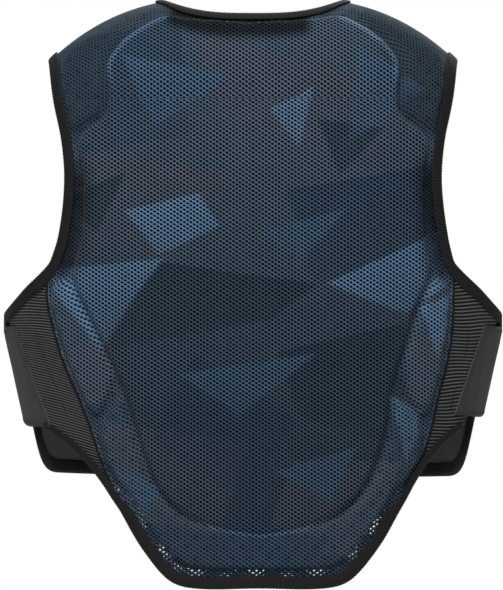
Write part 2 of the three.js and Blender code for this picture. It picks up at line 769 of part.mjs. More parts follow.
const PIECES = [
  ["back_cover", "mesh", backCover()],
  ["back_protector", "foam", backProtector()],
  ["front_panel", "mesh", frontPanel()],
  ["side_panel_left", "stretch", sidePanel(sides.left)],
  ["side_panel_right", "stretch", sidePanel(sides.right)],
  ["belt_left", "belt", belt(-1)],
  ["belt_right", "belt", belt(1)],
  ["neck_binding", "tape", neckTape()],
  ["armhole_binding_left", "tape", armholeTape(-1, "left")],
  ["armhole_binding_right", "tape", armholeTape(1, "right")],
  ["hem_binding", "tape", hemTape()],
  ["front_binding", "tape", frontTape()],
  ["seam_piping_left", "piping", piping(-1)],
  ["seam_piping_right", "piping", piping(1)],
];

const vest = new THREE.Group();
vest.name = "motorcycle_protective_vest";
PIECES.forEach(([name, look, solid]) => {
  const mesh = new THREE.Mesh(geometryOf(solid), new THREE.MeshStandardMaterial({ ...LOOKS[look], metalness: 0 }));
  mesh.name = name;
  vest.add(mesh);
});

export default vest;
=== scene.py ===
import math

import bpy
import numpy as np
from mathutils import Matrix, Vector


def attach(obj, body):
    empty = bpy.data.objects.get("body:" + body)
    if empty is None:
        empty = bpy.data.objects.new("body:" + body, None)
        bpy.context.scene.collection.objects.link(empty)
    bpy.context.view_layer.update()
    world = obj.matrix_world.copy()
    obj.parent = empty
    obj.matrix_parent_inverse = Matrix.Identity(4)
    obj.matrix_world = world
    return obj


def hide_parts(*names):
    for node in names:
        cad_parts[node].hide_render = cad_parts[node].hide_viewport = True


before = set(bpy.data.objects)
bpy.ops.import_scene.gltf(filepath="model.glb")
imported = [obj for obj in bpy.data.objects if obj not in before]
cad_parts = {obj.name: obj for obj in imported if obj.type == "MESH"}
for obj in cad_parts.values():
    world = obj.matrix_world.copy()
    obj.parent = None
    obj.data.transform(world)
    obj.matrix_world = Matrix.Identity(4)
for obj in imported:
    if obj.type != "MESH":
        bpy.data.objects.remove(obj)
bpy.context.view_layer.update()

# Sizes are in millimetres until the last step, in the frame of the part:
# +Z up, the back faces -Y, the wearer's right is +X
MM = 0.001


def table(columns, rows):
    """Named columns of numbers, one row for each station."""
    return dict(zip(columns.split(), np.array(rows, float).T))


# Cloth and tape
CLOTH = 3.0
PUCKER = 0.5
# Waves of the puckers beside the tapes: radians for a millimetre along the cloth, and up it
PUCKER_WAVES = ((0.13, 0.37), (0.29, -0.21))
# Distances inside the edge where the puckers start and end, and where the pads' relief starts and is full
PUCKER_BAND = (8.0, 15.0, 18.0, 45.0)
PAD_RISE = (9.0, 21.0)
# Distances below the shoulder line where the relief starts and is full
SHOULDER_RISE = (6.0, 92.0)
RIB_PITCH = 2.7
RIB_RISE = 0.6

# Body that the vest wraps
ROUNDNESS = 2.5
TURN_RUN = -80.0
RIDGE_TOP = 26.0
RIDGE_FALL = 7.67e-6
RIDGE_MARGIN = 1.5
# Steps that the body's slope is measured over, in radians round it and in millimetres up it
SLOPE_TURN = 0.002
SLOPE_RUN = 0.5
NECK_HALF = 92.0
NECK_BACK = 69.0
NECK_FRONT = 98.0
QUARTER = math.pi / 2
BODY = table("run half back front", [
    (-570, 197, 105, 98),
    (-460, 209, 97, 106),
    (-401, 221, 98, 108),
    (-350, 232, 102, 111),
    (-302, 242, 107, 115),
    (-262, 243, 112, 118),
    (-192, 236, 118, 119),
    (-132, 230, 119, 115),
    (-80, 224, 114, 106),
])

# Sides of the back, and how far its middle drifts sideways
SEAM_FOOT = -490.0
TAIL_HALF = 138.0
ARMHOLE_FOOT = -242.0
SHOULDER_HALF = 203.5
BACK_SIDE = table("run half lean", [
    (-566, TAIL_HALF, 6.5),
    (-520, TAIL_HALF, 7),
    (SEAM_FOOT, TAIL_HALF, 7),
    (-460, 151, 7.5),
    (-435, 161, 8),
    (-410, 169, 8),
    (-380, 178, 5.5),
    (-345, 190, 2.5),
    (-310, 198, 0),
    (-275, 202, -3),
    (ARMHOLE_FOOT, 199, -1),
    (-220, 193, 0),
    (-160, 186, 0),
    (-120, 189, 0),
    (TURN_RUN, 197, 0),
    (-12, SHOULDER_HALF, 0),
])
BACK_HEM = table("away run", [
    (0, -566.3),
    (70, -565.8),
    (82, -562.8),
    (90.5, -558),
    (100.5, -548),
    (108, -538.7),
    (121.5, -519.5),
    (TAIL_HALF, SEAM_FOOT),
])

# Sides and hem of the front
FRONT_CORNER = -290.0
FRONT_HEM = -453.5
FRONT_HEM_DIP = 9.0
FRONT_HEM_TILT = -2.3
FRONT_HEM_RADIUS = 48.0
FRONT_TAPE_TOP = -302.0
FRONT_SIDE = table("run half", [
    (-470, 206),
    (-401, 220.8),
    (-350, 231.8),
    (FRONT_CORNER, 242.4),
    (-280, 235),
    (-265, 218),
    (-240, 199),
    (-220, 193),
    (-160, 184),
    (-120, 188),
    (TURN_RUN, 197),
    (-12, SHOULDER_HALF),
])

# Pads under the mesh: rise, length of the rounded edge, and outline of the right half as away, z
PAD_FLOOR = 1.0
SPINE_PLATE = (13.5, 5, [
    (0, -9), (60, -6), (88, -1), (125, -22), (145, -46), (141, -74), (143, -98), (172, -116), (166, -150),
    (165, -185), (168, -222), (175, -243), (173, -262), (162, -284), (152, -312), (142, -338), (133, -362),
    (129, -375), (122, -410), (110, -448), (96, -475), (75, -495), (40, -511), (0, -517),
])
SIDE_PAD = (11.5, 5, [
    (175, -266), (185, -258), (195, -265), (195, -284), (190, -311), (182, -345), (171, -380), (160, -396),
    (147, -374), (139, -354), (149, -329), (159, -305), (168, -284),
])
LOWER_PAD = (11, 5, [
    (136, -374), (160, -410), (156, -435), (146, -452), (131, -468), (119, -492), (101, -520), (84, -540),
    (66, -549), (-20, -550), (-20, -514), (42, -509), (74, -499), (99, -480), (116, -451), (129, -411),
    (134, -384),
])
SHOULDER_PAD = (8, 8, [
    (99, 28), (99, 4), (131, -18), (151, -44), (147, -74), (149, -94), (176, -110), (183, -112), (185, -87),
    (190, -57), (193, -32), (193, 28),
])
CHEST_PLATE = (10, 22, [
    (0, -70), (60, -62), (120, -90), (150, -140), (152, -220), (112, -300), (96, -400), (0, -420),
])
BACK_PADS = [SPINE_PLATE, SIDE_PAD, LOWER_PAD, SHOULDER_PAD]
FRONT_PADS = [CHEST_PLATE, SHOULDER_PAD]
# Rounds of smoothing that draw the cloth across the gaps between the pads
BACK_BRIDGING = 1
FRONT_BRIDGING = 30
# Share of a side that is cut off at each corner of a pad
CORNER_CUT = 0.2

# Side panels and belts
SIDE_TIP_RUN = -491.0
SIDE_TIP_WIDTH = 0.8
SIDE_FOOT_BULGE = 12.0
SIDE_RISE = 5.2
# Belts: stand-off, half their thickness, swell inside a thin rim, ripple, and how their start sinks in
BELT_STAND = 9.4
BELT_HALF = 1.5
BELT_SWELL = 1.3
BELT_ROUND = 2.5
BELT_RIM = 0.2
BELT_RIPPLE = 0.25
BELT_WAVES = (0.9, 3.1)
BELT_SINK = 3.0
BELT_SINK_SHARE = 0.12
# Lengths that round the belt's two ends
BELT_ENDS = (180.0, 90.0)
# Size that the weave is laid out over
BELT_FLAT = (200.0, 95.0)
BELT_GRID = (121, 41)
# Stitch lines on a belt, as shares of its height
BELT_STITCHES = (0.05, 0.95)
BELT_STITCH_POINTS = 200
BELT_START = (73.0, 61.0)
BELT_RIGHT_START = (67.0, 59.5)
BELT_RIGHT_LIFT = 12.0
BELT = table("turn top foot", [
    (60, -304, -406),
    (75, -305, -406),
    (90, -306, -403),
    (110, -309, -396),
    (130, -315, -386),
    (137, -321, -380),
    (140, -331, -370),
])

# Air mesh: columns of oval holes, every other column half a hole lower
HOLE_COLUMNS = 3.2
HOLE_ROWS = 4.1
HOLE_WIDE = 1.6
HOLE_HIGH = 1.1
HOLE_FORM = np.array([(1, 0), (0.5, 0.85), (-0.5, 0.85), (-1, 0), (-0.5, -0.85), (0.5, -0.85)])
# Most of its cell that a hole may take
HOLE_ROOM = 0.8
HOLE_DEPTH = 0.9
# Painted shade on the mesh round its holes: its brightness over light pads, and where they look down into
# the dark
HOLE_SHADES = (0.75, 0.22)
NET_UNDER_TAPE = 5.5
NET_MARGIN = NET_UNDER_TAPE + 0.8
# How far left the middle of the darker band under the neck tape lies
NECK_SHIFT = 14.0
# The front carries the print upside down: heights on the two add up to this
FRONT_PRINT = -440.0
# Painted highlight and shade on the strands round a hole: their brightness, from the upper right one
# anticlockwise
STRAND_HIGHLIGHTS = (1.3, 1.0, 0.85, 1.3, 1.0, 0.85)
# Small holes through the pads' covers: pitch across and up, radius, and half the width of the soft edge
PERFORATIONS = (18.0, 11.0, 2.3)
PERFORATION_SOFT = 0.4
# How far the holes of the side pads and of the other pads look down, where those of the spine plate are 1
SIDE_PAD_DEEP = 0.65
OTHER_PADS_DEEP = 0.1
# Size of the holes on the shoulders, and where those start beside the spine plate and above
SHOULDER_HOLES = 0.78
SHOULDER_LINE = (-2, 3)
SHOULDER_LEVELS = (-135, -112)
# Soft edge of the pads' depth and of their tints, as distances into the pad
DEPTH_SOFT = (-4, 4)
TINT_SOFT = (-3, 3)

# Brightness of the mesh: high and low on the back, by the print's tones and painted shade of light from
# above; painted shade on the shoulders; over the pads; painted highlight on the plate's edges; painted
# shade in the crease and beside the armholes' tape; darker under the neck tape
PRINT_AND_SHADE_HEIGHT = (1.1, 0.86)
SHOULDER_SHADE = 0.42
PAD_TINTS = ((SIDE_PAD, 1.25), (LOWER_PAD, 0.95))
EDGE_HIGHLIGHT = 1.2
CREASE_SHADE = 0.65
ARMHOLE_SHADE = 0.12
NECK_BAND_DARKENING = 0.1
# Where those shades start and end; levels and runs count downwards where they are positive
PRINT_AND_SHADE_LEVELS = (60, 420)
BEVEL_BAND = (0, 3, 6, 9)
BEVEL_LEVELS = (-75, -45)
BEVEL_AWAY = 84
FOOT_LINE = (0.8, 2.2)
FOOT_LEVELS = (485, 510)
CREASE_LINE = (1, 3)
CREASE_LEVELS = (534, 542)
ARMHOLE_RUNS = (115, 165, 245, 275)
ARMHOLE_REACH = (12, 46)
NECK_BAND_RUNS = (-90, -70)
NECK_BAND_AWAY = (62, 78)
NECK_BAND_REACH = (36, 50)

# Pads: cells, depth under the mesh, gap to the body, reach past seams and tapes, and margin inside that
PAD_CELL = (4.2, 5.0)
PAD_UNDER_NET = 2.1
PAD_OFF_BODY = 0.4
PAD_PAST_SEAM = 16.0
PAD_PAST_TAPE = 9.0
PAD_MARGIN = 17.0

# Net flange at the hem: its cells and holes against the mesh's, its width, and where it stops up the seam
FLANGE_PITCH = 1.12
FLANGE_HOLE = 0.72
FLANGE_MARGIN = 3.5
FLANGE_WIDTH = 19.0
FLANGE_TOP = SEAM_FOOT + 40
FLANGE_OFF_BODY = 0.7
# Clusters of open holes in the flange: waves along and up, a shift, and where the holes close and are full
FLANGE_WAVES = (0.21, 0.16)
FLANGE_SHIFT = 0.6
FLANGE_OPENS = (-1.6, 0.2)

# Cells of the padded front
FRONT_CELL = (4.6, 5.5)


def lerp(a, b, t):
    return a + (b - a) * t


def smoothstep(t, low, high):
    t = np.clip((t - low) / (high - low), 0, 1)
    return t * t * (3 - 2 * t)


def band(t, start, full, fade, end):
    """1 between two soft steps, 0 outside them."""
    return smoothstep(t, start, full) * (1 - smoothstep(t, fade, end))


def close_to(t, near, far):
    """1 near zero, 0 from some distance on."""
    return 1 - smoothstep(np.abs(t), near, far)


def read(rows, key, column, at):
    """Smooth value of a table's column at places along its key."""
    x, y = rows[key], rows[column]
    at = np.clip(at, x[0], x[-1])
    i = np.clip(np.searchsorted(x, at, side="right") - 1, 0, len(x) - 2)
    slope = np.diff(y) / np.diff(x)
    before = slope[np.maximum(i - 1, 0)]
    after = slope[np.minimum(i + 1, len(slope) - 1)]
    start = (before + slope[i]) / 2
    end = (slope[i] + after) / 2
    step = x[i + 1] - x[i]
    t = (at - x[i]) / step
    return (
        (2 * t**3 - 3 * t**2 + 1) * y[i]
        + (t**3 - 2 * t**2 + t) * step * start
        + (3 * t**2 - 2 * t**3) * y[i + 1]
        + (t**3 - t**2) * step * end
    )


def unit(vectors):
    return vectors / np.maximum(np.linalg.norm(vectors, axis=-1, keepdims=True), 1e-9)


def travelled(points):
    """Length along a line of points, at each of them."""
    return np.concatenate([[0], np.cumsum(np.linalg.norm(np.diff(points, axis=0), axis=1))])


def between(at, along, values):
    """Vectors read between the points of a line."""
    return np.stack([np.interp(at, along, values[:, k]) for k in range(3)], -1)


def grid_places(half, low, high, step):
    """Places over a rectangle at even steps, and how many rows and columns they make."""
    along = np.arange(-half, half + step, step)
    up = np.arange(low, high + step, step)
    return np.stack(np.meshgrid(along, up), -1).reshape(-1, 2), (len(up), len(along))


# Body surface


def ridge(across):
    return RIDGE_TOP - RIDGE_FALL * np.abs(across) ** 3


def over_top(across, depth):
    """Length of the cloth from where it turns in to the shoulder's ridge, and how far it rises."""
    rise = ridge(across) - TURN_RUN
    return QUARTER * np.sqrt((depth**2 + rise**2) / 2), rise


def body_point(turn, run):
    """Points on the body: turn goes round from the middle of the back, run up the cloth."""
    turn, run = np.broadcast_arrays(np.asarray(turn, float), np.asarray(run, float))
    level = np.minimum(run, TURN_RUN)
    side, behind = np.sin(turn), np.cos(turn)
    across = np.sign(side) * read(BODY, "run", "half", level) * np.abs(side) ** (2 / ROUNDNESS)
    reach = np.where(behind < 0, read(BODY, "run", "front", level), -read(BODY, "run", "back", level))
    depth = reach * np.abs(behind) ** (2 / ROUNDNESS)
    length, rise = over_top(across, depth)
    angle = QUARTER * np.clip((run - TURN_RUN) / length, 0, 1)
    return np.stack([across, depth * np.cos(angle), level + rise * np.sin(angle)], -1)


def body_normal(turn, run):
    """Outward directions, with those on the ridge taken just short of it."""
    turning = body_point(turn, TURN_RUN)
    run = np.minimum(run, TURN_RUN + over_top(turning[..., 0], turning[..., 1])[0] - RIDGE_MARGIN)
    round_body = body_point(turn + SLOPE_TURN, run) - body_point(turn - SLOPE_TURN, run)
    up = body_point(turn, run + SLOPE_RUN) - body_point(turn, run - SLOPE_RUN)
    return unit(np.cross(round_body, up))


def off_body(turn, run, out):
    return body_point(turn, run) + body_normal(turn, run) * np.reshape(out, (-1, 1))


def turn_at(across, run):
    share = np.abs(across) / read(BODY, "run", "half", np.minimum(run, TURN_RUN))
    return np.sign(across) * np.arcsin(np.minimum(1, share) ** (ROUNDNESS / 2))


def top_run(across, is_front):
    """Run of a panel's top edge: the neck's edge, or the shoulder line beyond it."""
    turn = turn_at(across, TURN_RUN)
    depth = np.abs(body_point(np.where(is_front, math.pi - turn, turn), TURN_RUN)[..., 1])
    length, _ = over_top(across, depth)
    inside = np.clip(np.abs(across) / NECK_HALF, 0, 1)
    neck = (NECK_FRONT if is_front else NECK_BACK) * np.sqrt(1 - inside**3)
    share = np.arccos(np.clip(neck / depth, 0, 1)) / QUARTER
    return TURN_RUN + length * share


# Flat cloth: a point is its distance along the cloth from the middle, and its run

FLAT_STEP = 2.5
FLAT_LOW = -585.0
FLAT_HIGH = 90.0
FLAT_HALF = 330.0
TURN_STEPS = 360
RUNS = np.arange(FLAT_LOW, TURN_RUN + FLAT_STEP, FLAT_STEP)
# Points along the hems, the neck, a shoulder and a side
FRONT_HEM_POINTS = 241
BACK_HEM_POINTS = 139
NECK_POINTS = 121
SHOULDER_POINTS = 50
SIDE_POINTS = 120
# Step that the way in from the edge is measured over, and rounds in which points are moved to a margin
INWARD_STEP = 1.5
SNAP_ROUNDS = 6
# How far the cut's edge is moved out where no tape binds it: at the shoulders, and at the side seams
PAST_SHOULDER = 60.0
PAST_SEAM = 12.0


def sample(grid, row, column):
    """Values between the points of a grid."""
    row = np.clip(row, 0, grid.shape[0] - 1.001)
    column = np.clip(column, 0, grid.shape[1] - 1.001)
    i, j = row.astype(int), column.astype(int)
    u, v = row - i, column - j
    low = (1 - v) * grid[i, j] + v * grid[i, j + 1]
    high = (1 - v) * grid[i + 1, j] + v * grid[i + 1, j + 1]
    return (1 - u) * low + u * high


class Panel:
    """The back or the front: its flat cut, and where each point of it lies on the body."""

    def __init__(self, is_front, relief):
        self.is_front, self.relief = is_front, relief
        turns = np.linspace(0, QUARTER, TURN_STEPS + 1)
        points = body_point(self.round(turns[None, :]), RUNS[:, None])
        steps = np.linalg.norm(np.diff(points, axis=1), axis=2)
        self.lengths = np.concatenate([np.zeros((len(RUNS), 1)), np.cumsum(steps, axis=1)], axis=1)
        spread = np.arange(0, FLAT_HALF + FLAT_STEP, FLAT_STEP)
        self.turns = np.array([np.interp(spread, row, turns) for row in self.lengths])
        self.loop = self.outline(0, 0)
        self.edge = self.distances(self.loop)
        self.taped = self.distances(self.outline(PAST_SHOULDER, PAST_SEAM))
        self.netted = self.distances(self.outline(NET_UNDER_TAPE + 2, NET_UNDER_TAPE))

    def round(self, turn):
        return math.pi - turn if self.is_front else turn

    def row(self, run):
        return (np.minimum(run, TURN_RUN) - FLAT_LOW) / FLAT_STEP

    def flat(self, across, run):
        """Flat place of a point that far across at a run."""
        turn = turn_at(across, run)
        along = sample(self.lengths, self.row(run), np.abs(turn) / QUARTER * TURN_STEPS)
        return np.stack([np.sign(across) * along, run + 0 * along], -1)

    def turn(self, flat):
        turn = sample(self.turns, self.row(flat[:, 1]), np.abs(flat[:, 0]) / FLAT_STEP)
        return self.round(np.sign(flat[:, 0]) * turn)

    def point(self, flat, out=0.0):
        return off_body(self.turn(flat), flat[:, 1], out)

    def lean(self, run):
        """How far the panel's middle drifts sideways."""
        return 0 if self.is_front else read(BACK_SIDE, "run", "lean", run)

    def side(self, sign, run):
        rows = FRONT_SIDE if self.is_front else BACK_SIDE
        return self.lean(run) + sign * read(rows, "run", "half", run)

    def side_flat(self, sign, run):
        return self.flat(self.side(sign, run), run)

    def hem_flat(self):
        if self.is_front:
            corner = self.side_flat(1, np.array([FRONT_HEM + FRONT_HEM_RADIUS]))[0, 0]
            along = np.linspace(-corner, corner, FRONT_HEM_POINTS)
            short = np.maximum(0, FRONT_HEM_RADIUS - corner + np.abs(along))
            lift = FRONT_HEM_RADIUS - np.sqrt(FRONT_HEM_RADIUS**2 - short**2)
            dip = FRONT_HEM_DIP * np.cos(QUARTER * np.abs(along) / corner)
            tilt = FRONT_HEM_TILT * along / corner
            return np.stack([along, FRONT_HEM + tilt - dip + lift], -1)
        away = np.linspace(-TAIL_HALF, TAIL_HALF, BACK_HEM_POINTS)
        run = read(BACK_HEM, "away", "run", np.abs(away))
        return self.flat(away + self.lean(run), run)

    def neck_flat(self):
        """The neck's edge from right to left, with its points evenly round it."""
        turn = np.linspace(QUARTER, -QUARTER, NECK_POINTS)
        across = NECK_HALF * np.sign(turn) * np.abs(np.sin(turn)) ** (2 / 3)
        return self.flat(across, top_run(across, self.is_front))

    def top_flat(self):
        shoulder = np.linspace(SHOULDER_HALF, NECK_HALF, SHOULDER_POINTS)[:-1]
        right = self.flat(shoulder, top_run(shoulder, self.is_front))
        return np.concatenate([right, self.neck_flat(), (right * [-1, 1])[::-1]])

    def outline(self, past_shoulder, past_seam, past_tape=0):
        """The cut's outline, with its shoulder and side seams and its armhole and neck tapes moved out."""
        hem, top = self.hem_flat(), self.top_flat()
        foot = hem[-1, 1]
        run = np.linspace(foot, top[0, 1], SIDE_POINTS)[1:-1]
        right, left = self.side_flat(1, run), self.side_flat(-1, run)[::-1]
        if not self.is_front:
            armhole = smoothstep(run, ARMHOLE_FOOT - 4, ARMHOLE_FOOT + 10)
            seam = smoothstep(run, SEAM_FOOT + 2, SEAM_FOOT + 14) * (1 - armhole)
            moved = past_seam * seam + past_tape * armhole
            right[:, 0] += moved
            left[:, 0] -= moved[::-1]
        beyond = np.abs(top[:, 0]) > self.flat(np.array([NECK_HALF + 4]), np.array([0.0]))[0, 0]
        steep = np.hypot(1, np.gradient(top[:, 1], top[:, 0]))
        top = top + np.stack([0 * steep, np.where(beyond, past_shoulder * steep, past_tape)], -1)
        return np.concatenate([hem, right, top, left])

    def distances(self, loop):
        """Grid of distances into the cut from its edge, negative outside."""
        grid, shape = grid_places(FLAT_HALF, FLAT_LOW, FLAT_HIGH, FLAT_STEP)
        return depth_inside(loop[::2], grid).reshape(shape)

    def depth(self, flat, field=None):
        field = self.edge if field is None else field
        return sample(field, (flat[:, 1] - FLAT_LOW) / FLAT_STEP, (flat[:, 0] + FLAT_HALF) / FLAT_STEP)

    def inward(self, flat, field=None):
        """Direction along the flat cloth away from its nearest edge."""
        steps = np.eye(2) * INWARD_STEP
        slopes = [self.depth(flat + step, field) - self.depth(flat - step, field) for step in steps]
        return unit(np.stack(slopes, -1))

    def snapped(self, flat, rim, margin, field=None):
        """Points with those of the rim moved onto the line that lies the margin inside the edge."""
        flat = flat.copy()
        for _ in range(SNAP_ROUNDS):
            short = margin - self.depth(flat[rim], field)
            flat[rim] += self.inward(flat[rim], field) * short[:, None]
        return flat

    def height(self, flat):
        """How far the mesh stands from the body."""
        turn = self.turn(flat)
        points = body_point(turn, flat[:, 1])
        rise = self.relief.at(points[:, 0] - self.lean(flat[:, 1]), points[:, 2])
        below_seam = top_run(points[:, 0], self.is_front) - flat[:, 1]
        beside_neck = smoothstep(below_seam, *SHOULDER_RISE)
        over_shoulder = np.where(np.abs(points[:, 0]) < NECK_HALF, 1, beside_neck)
        inside = self.depth(flat, self.taped)
        waves = np.sin(flat @ np.transpose(PUCKER_WAVES)).sum(1)
        pucker = PUCKER * waves * band(inside, *PUCKER_BAND)
        return CLOTH + (rise * smoothstep(inside, *PAD_RISE) + pucker) * over_shoulder


def loop_area(loop):
    after = np.roll(loop, -1, axis=0)
    return abs((loop[:, 0] * after[:, 1] - after[:, 0] * loop[:, 1]).sum()) / 2


def depth_inside(loop, points):
    """Distances into a closed loop, negative outside."""
    nearest = np.full(len(points), 1e9)
    inside = np.zeros(len(points), bool)
    x, y = points[:, 0], points[:, 1]
    for (ax, ay), (bx, by) in zip(loop, np.roll(loop, -1, axis=0)):
        dx, dy = bx - ax, by - ay
        t = np.clip(((x - ax) * dx + (y - ay) * dy) / max(dx * dx + dy * dy, 1e-9), 0, 1)
        nearest = np.minimum(nearest, (x - ax - t * dx) ** 2 + (y - ay - t * dy) ** 2)
        if ay != by:
            inside ^= ((ay > y) != (by > y)) & (x < ax + (y - ay) / (by - ay) * dx)
    return np.where(inside, 1, -1) * np.sqrt(nearest)


# Relief of the pads, seen from behind


def rounded(outline, rounds=2):
    """A loop with its corners cut."""
    loop = np.array(outline, float)
    for _ in range(rounds):
        after = np.roll(loop, -1, axis=0)
        ends = [(1 - cut) * loop + cut * after for cut in (CORNER_CUT, 1 - CORNER_CUT)]
        loop = np.stack(ends, 1).reshape(-1, 2)
    return loop


def blurred(grid, passes):
    for _ in range(passes):
        for axis in (0, 1):
            padded = np.pad(grid, [(1, 1) if a == axis else (0, 0) for a in (0, 1)], mode="edge")
            size = grid.shape[axis]
            before = np.take(padded, range(size), axis)
            after = np.take(padded, range(2, size + 2), axis)
            grid = (before + 2 * grid) / 4 + after / 4
    return grid


class Relief:
    """Height of the pads over the body, with the cloth drawn tight across them."""

    STEP = 2.0
    HALF = 260.0
    LOW = -580.0
    HIGH = 60.0

    def __init__(self, pads, bridging):
        grid, shape = grid_places(self.HALF, self.LOW, self.HIGH, self.STEP)
        self.zones = {}
        rises = [np.full(shape, PAD_FLOOR)]
        for pad in pads:
            rise, edge, outline = pad
            right = np.array(outline, float)
            if outline[0][0] == 0:
                loop = rounded(np.concatenate([right, (right * [-1, 1])[::-1]]))
                depth = depth_inside(loop, grid)
            else:
                depth = depth_inside(rounded(right), np.abs(grid) * [1, 0] + grid * [0, 1])
            share = np.clip(depth / edge, 0, 1)
            rises.append((rise * np.sqrt(1 - (1 - share) ** 2)).reshape(shape))
            self.zones[id(pad)] = depth.reshape(shape)
        pads_top = np.max(rises, axis=0)
        cloth = pads_top
        for _ in range(bridging):
            cloth = np.maximum(pads_top, blurred(cloth, 1))
        self.cloth = blurred(cloth, 1)

    def look_up(self, grid, away, z):
        return sample(grid, (z - self.LOW) / self.STEP, (away + self.HALF) / self.STEP)

    def at(self, away, z):
        return self.look_up(self.cloth, away, z)

    def zone(self, pad, away, z):
        """Distance into a pad's outline."""
        return self.look_up(self.zones[id(pad)], away, z)


# Meshes


def placed(name, data):
    """A new object in the scene."""
    thing = bpy.data.objects.new(name, data)
    bpy.context.scene.collection.objects.link(thing)
    return thing


class Mesh:
    """Points and faces of one piece, with a value for each point and a material for each face."""

    def __init__(self):
        self.points, self.faces, self.looks, self.values, self.count = [], [], [], {}, 0

    def add(self, points, faces, look=0, **values):
        self.points.append(points)
        self.faces += (np.asarray(faces) + self.count).tolist()
        self.looks += [look] * len(faces)
        for name, value in values.items():
            self.values.setdefault(name, []).append((self.count, value))
        self.count += len(points)

    def make(self, name, node, materials):
        mesh = bpy.data.meshes.new(name)
        points = np.concatenate(self.points)
        mesh.from_pydata((points * MM).tolist(), [], self.faces)
        mesh.polygons.foreach_set("material_index", self.looks)
        mesh.shade_smooth()
        for key, parts in self.values.items():
            width = parts[0][1].shape[1]
            full = np.zeros((self.count, width))
            for start, value in parts:
                full[start:start + len(value)] = value
            if key == "OFBake":
                corners = np.zeros(len(mesh.loops), int)
                mesh.loops.foreach_get("vertex_index", corners)
                layer = mesh.uv_layers.new(name=key)
                layer.uv.foreach_set("vector", full[corners].ravel())
                continue
            kind = "FLOAT_COLOR" if width == 4 else "FLOAT_VECTOR"
            layer = mesh.attributes.new(key, kind, "POINT")
            layer.data.foreach_set("color" if width == 4 else "vector", full.ravel())
        for material in materials:
            mesh.materials.append(material)
        piece = placed(name, mesh)
        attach(piece, "root")
        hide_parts(node)
        return piece


def rim_of(faces, count):
    """Edges that only one face has."""
    edges = np.concatenate([faces[:, [k, (k + 1) % faces.shape[1]]] for k in range(faces.shape[1])])
    lone = ~np.isin(edges[:, 0] * count + edges[:, 1], edges[:, 1] * count + edges[:, 0])
    return edges[lone]


def add_wall(mesh, outer, inner, faces, looks=(0, 0), **values):
    """A sheet with two faces and a rim."""
    faces = np.asarray(faces)
    count = len(outer)
    rim = rim_of(faces, count)
    start = mesh.count
    mesh.add(outer, faces, looks[0], **{k: v[0] for k, v in values.items()})
    mesh.add(inner, faces[:, ::-1], looks[1], **{k: v[1] for k, v in values.items()})
    band = np.stack([rim[:, 1], rim[:, 0], rim[:, 0] + count, rim[:, 1] + count], -1) + start
    mesh.faces += band.tolist()
    mesh.looks += [looks[1]] * len(band)


def grid_faces(rows, columns, round_rows=False, round_columns=False):
    """Faces of a grid of points, which may close on itself either way."""
    r = np.arange(rows if round_rows else rows - 1)[:, None]
    c = np.arange(columns if round_columns else columns - 1)[None, :]
    after, beside = (r + 1) % rows, (c + 1) % columns
    corners = [r * columns + c, r * columns + beside, after * columns + beside, after * columns + c]
    return np.stack(corners, -1).reshape(-1, 4)


def grid_shares(rows, columns):
    """Shares of the way down and across a grid, for each of its points."""
    down, across = np.meshgrid(np.linspace(0, 1, rows), np.linspace(0, 1, columns), indexing="ij")
    return down.ravel(), across.ravel()


def add_tube(mesh, rings, closed=False, **values):
    """A tube through rings of points, with a flat face at each end unless it closes into a loop."""
    rows, size = rings.shape[:2]
    start = mesh.count
    mesh.add(rings.reshape(-1, 3), grid_faces(rows, size, closed, True), **values)
    if not closed:
        for first in (start, start + (rows - 1) * size):
            mesh.faces.append([first + k for k in range(size)])
            mesh.looks.append(0)


# Corners of a six-sided cell: columns and half rows to the cell that it is the tip of, and 1 for a left tip
CELL_TIPS = np.array([(0, 0, 0), (1, 1, 1), (-1, 1, 0), (0, 0, 1), (-1, -1, 0), (1, -1, 1)])
# More columns to a side, and more half rows, than any panel has
MOST_COLUMNS = 500
MOST_LEVELS = 4000


def cells(panel, columns, rows, margin, field=None, keep=None):
    """Six-sided cells over a panel: their corners' flat places, each cell's corners, and their middles."""
    across = np.arange(-int(FLAT_HALF / columns), int(FLAT_HALF / columns) + 1)
    up = np.arange(int((FLAT_HIGH - FLAT_LOW) / rows) + 1)
    column, level = [a.ravel() for a in np.meshgrid(across, up)]
    level = 2 * level + column % 2
    middles = np.stack([column * columns, FLAT_LOW + level * rows / 2], -1)
    inside = panel.depth(middles, field) > margin
    if keep is not None:
        inside &= keep(middles)
    column, level, middles = column[inside], level[inside], middles[inside]
    near = (columns**2 - rows**2 / 4) / (2 * columns)
    far = (columns**2 + rows**2 / 4) / (2 * columns)
    half = rows / 2
    ring = np.array([(far, 0), (near, half), (-near, half), (-far, 0), (-near, -half), (near, -half)])
    corners = (middles[:, None] + ring).reshape(-1, 2)
    tip_column, tip_level = column[:, None] + CELL_TIPS[:, 0], level[:, None] + CELL_TIPS[:, 1]
    keys = ((tip_column + MOST_COLUMNS) * MOST_LEVELS + tip_level + 2) * 2 + CELL_TIPS[:, 2]
    _, first, which, uses = np.unique(
        keys.ravel(), return_index=True, return_inverse=True, return_counts=True
    )
    flat = corners[first]
    if keep is None:
        flat = panel.snapped(flat, uses < 3, margin, field)
    return flat, which.reshape(-1, 6), middles


def bake_place(flat, half=None):
    """Place of a flat point on the piece's texture; a wall's two faces each get half of it."""
    u = (flat[:, 0] + FLAT_HALF) / (2 * FLAT_HALF)
    v = (flat[:, 1] - FLAT_LOW) / (FLAT_HIGH - FLAT_LOW)
    if half is not None:
        u = 0.5 * u + 0.5 * half
    return np.stack([u, v], -1)


def cloth_place(flat):
    return np.concatenate([flat, np.zeros((len(flat), 1))], 1)


# Colours, given as they look on a screen


def linear(*screen):
    c = np.array(screen, float) / 255
    return np.where(c <= 0.04045, c / 12.92, ((c + 0.055) / 1.055) ** 2.4)


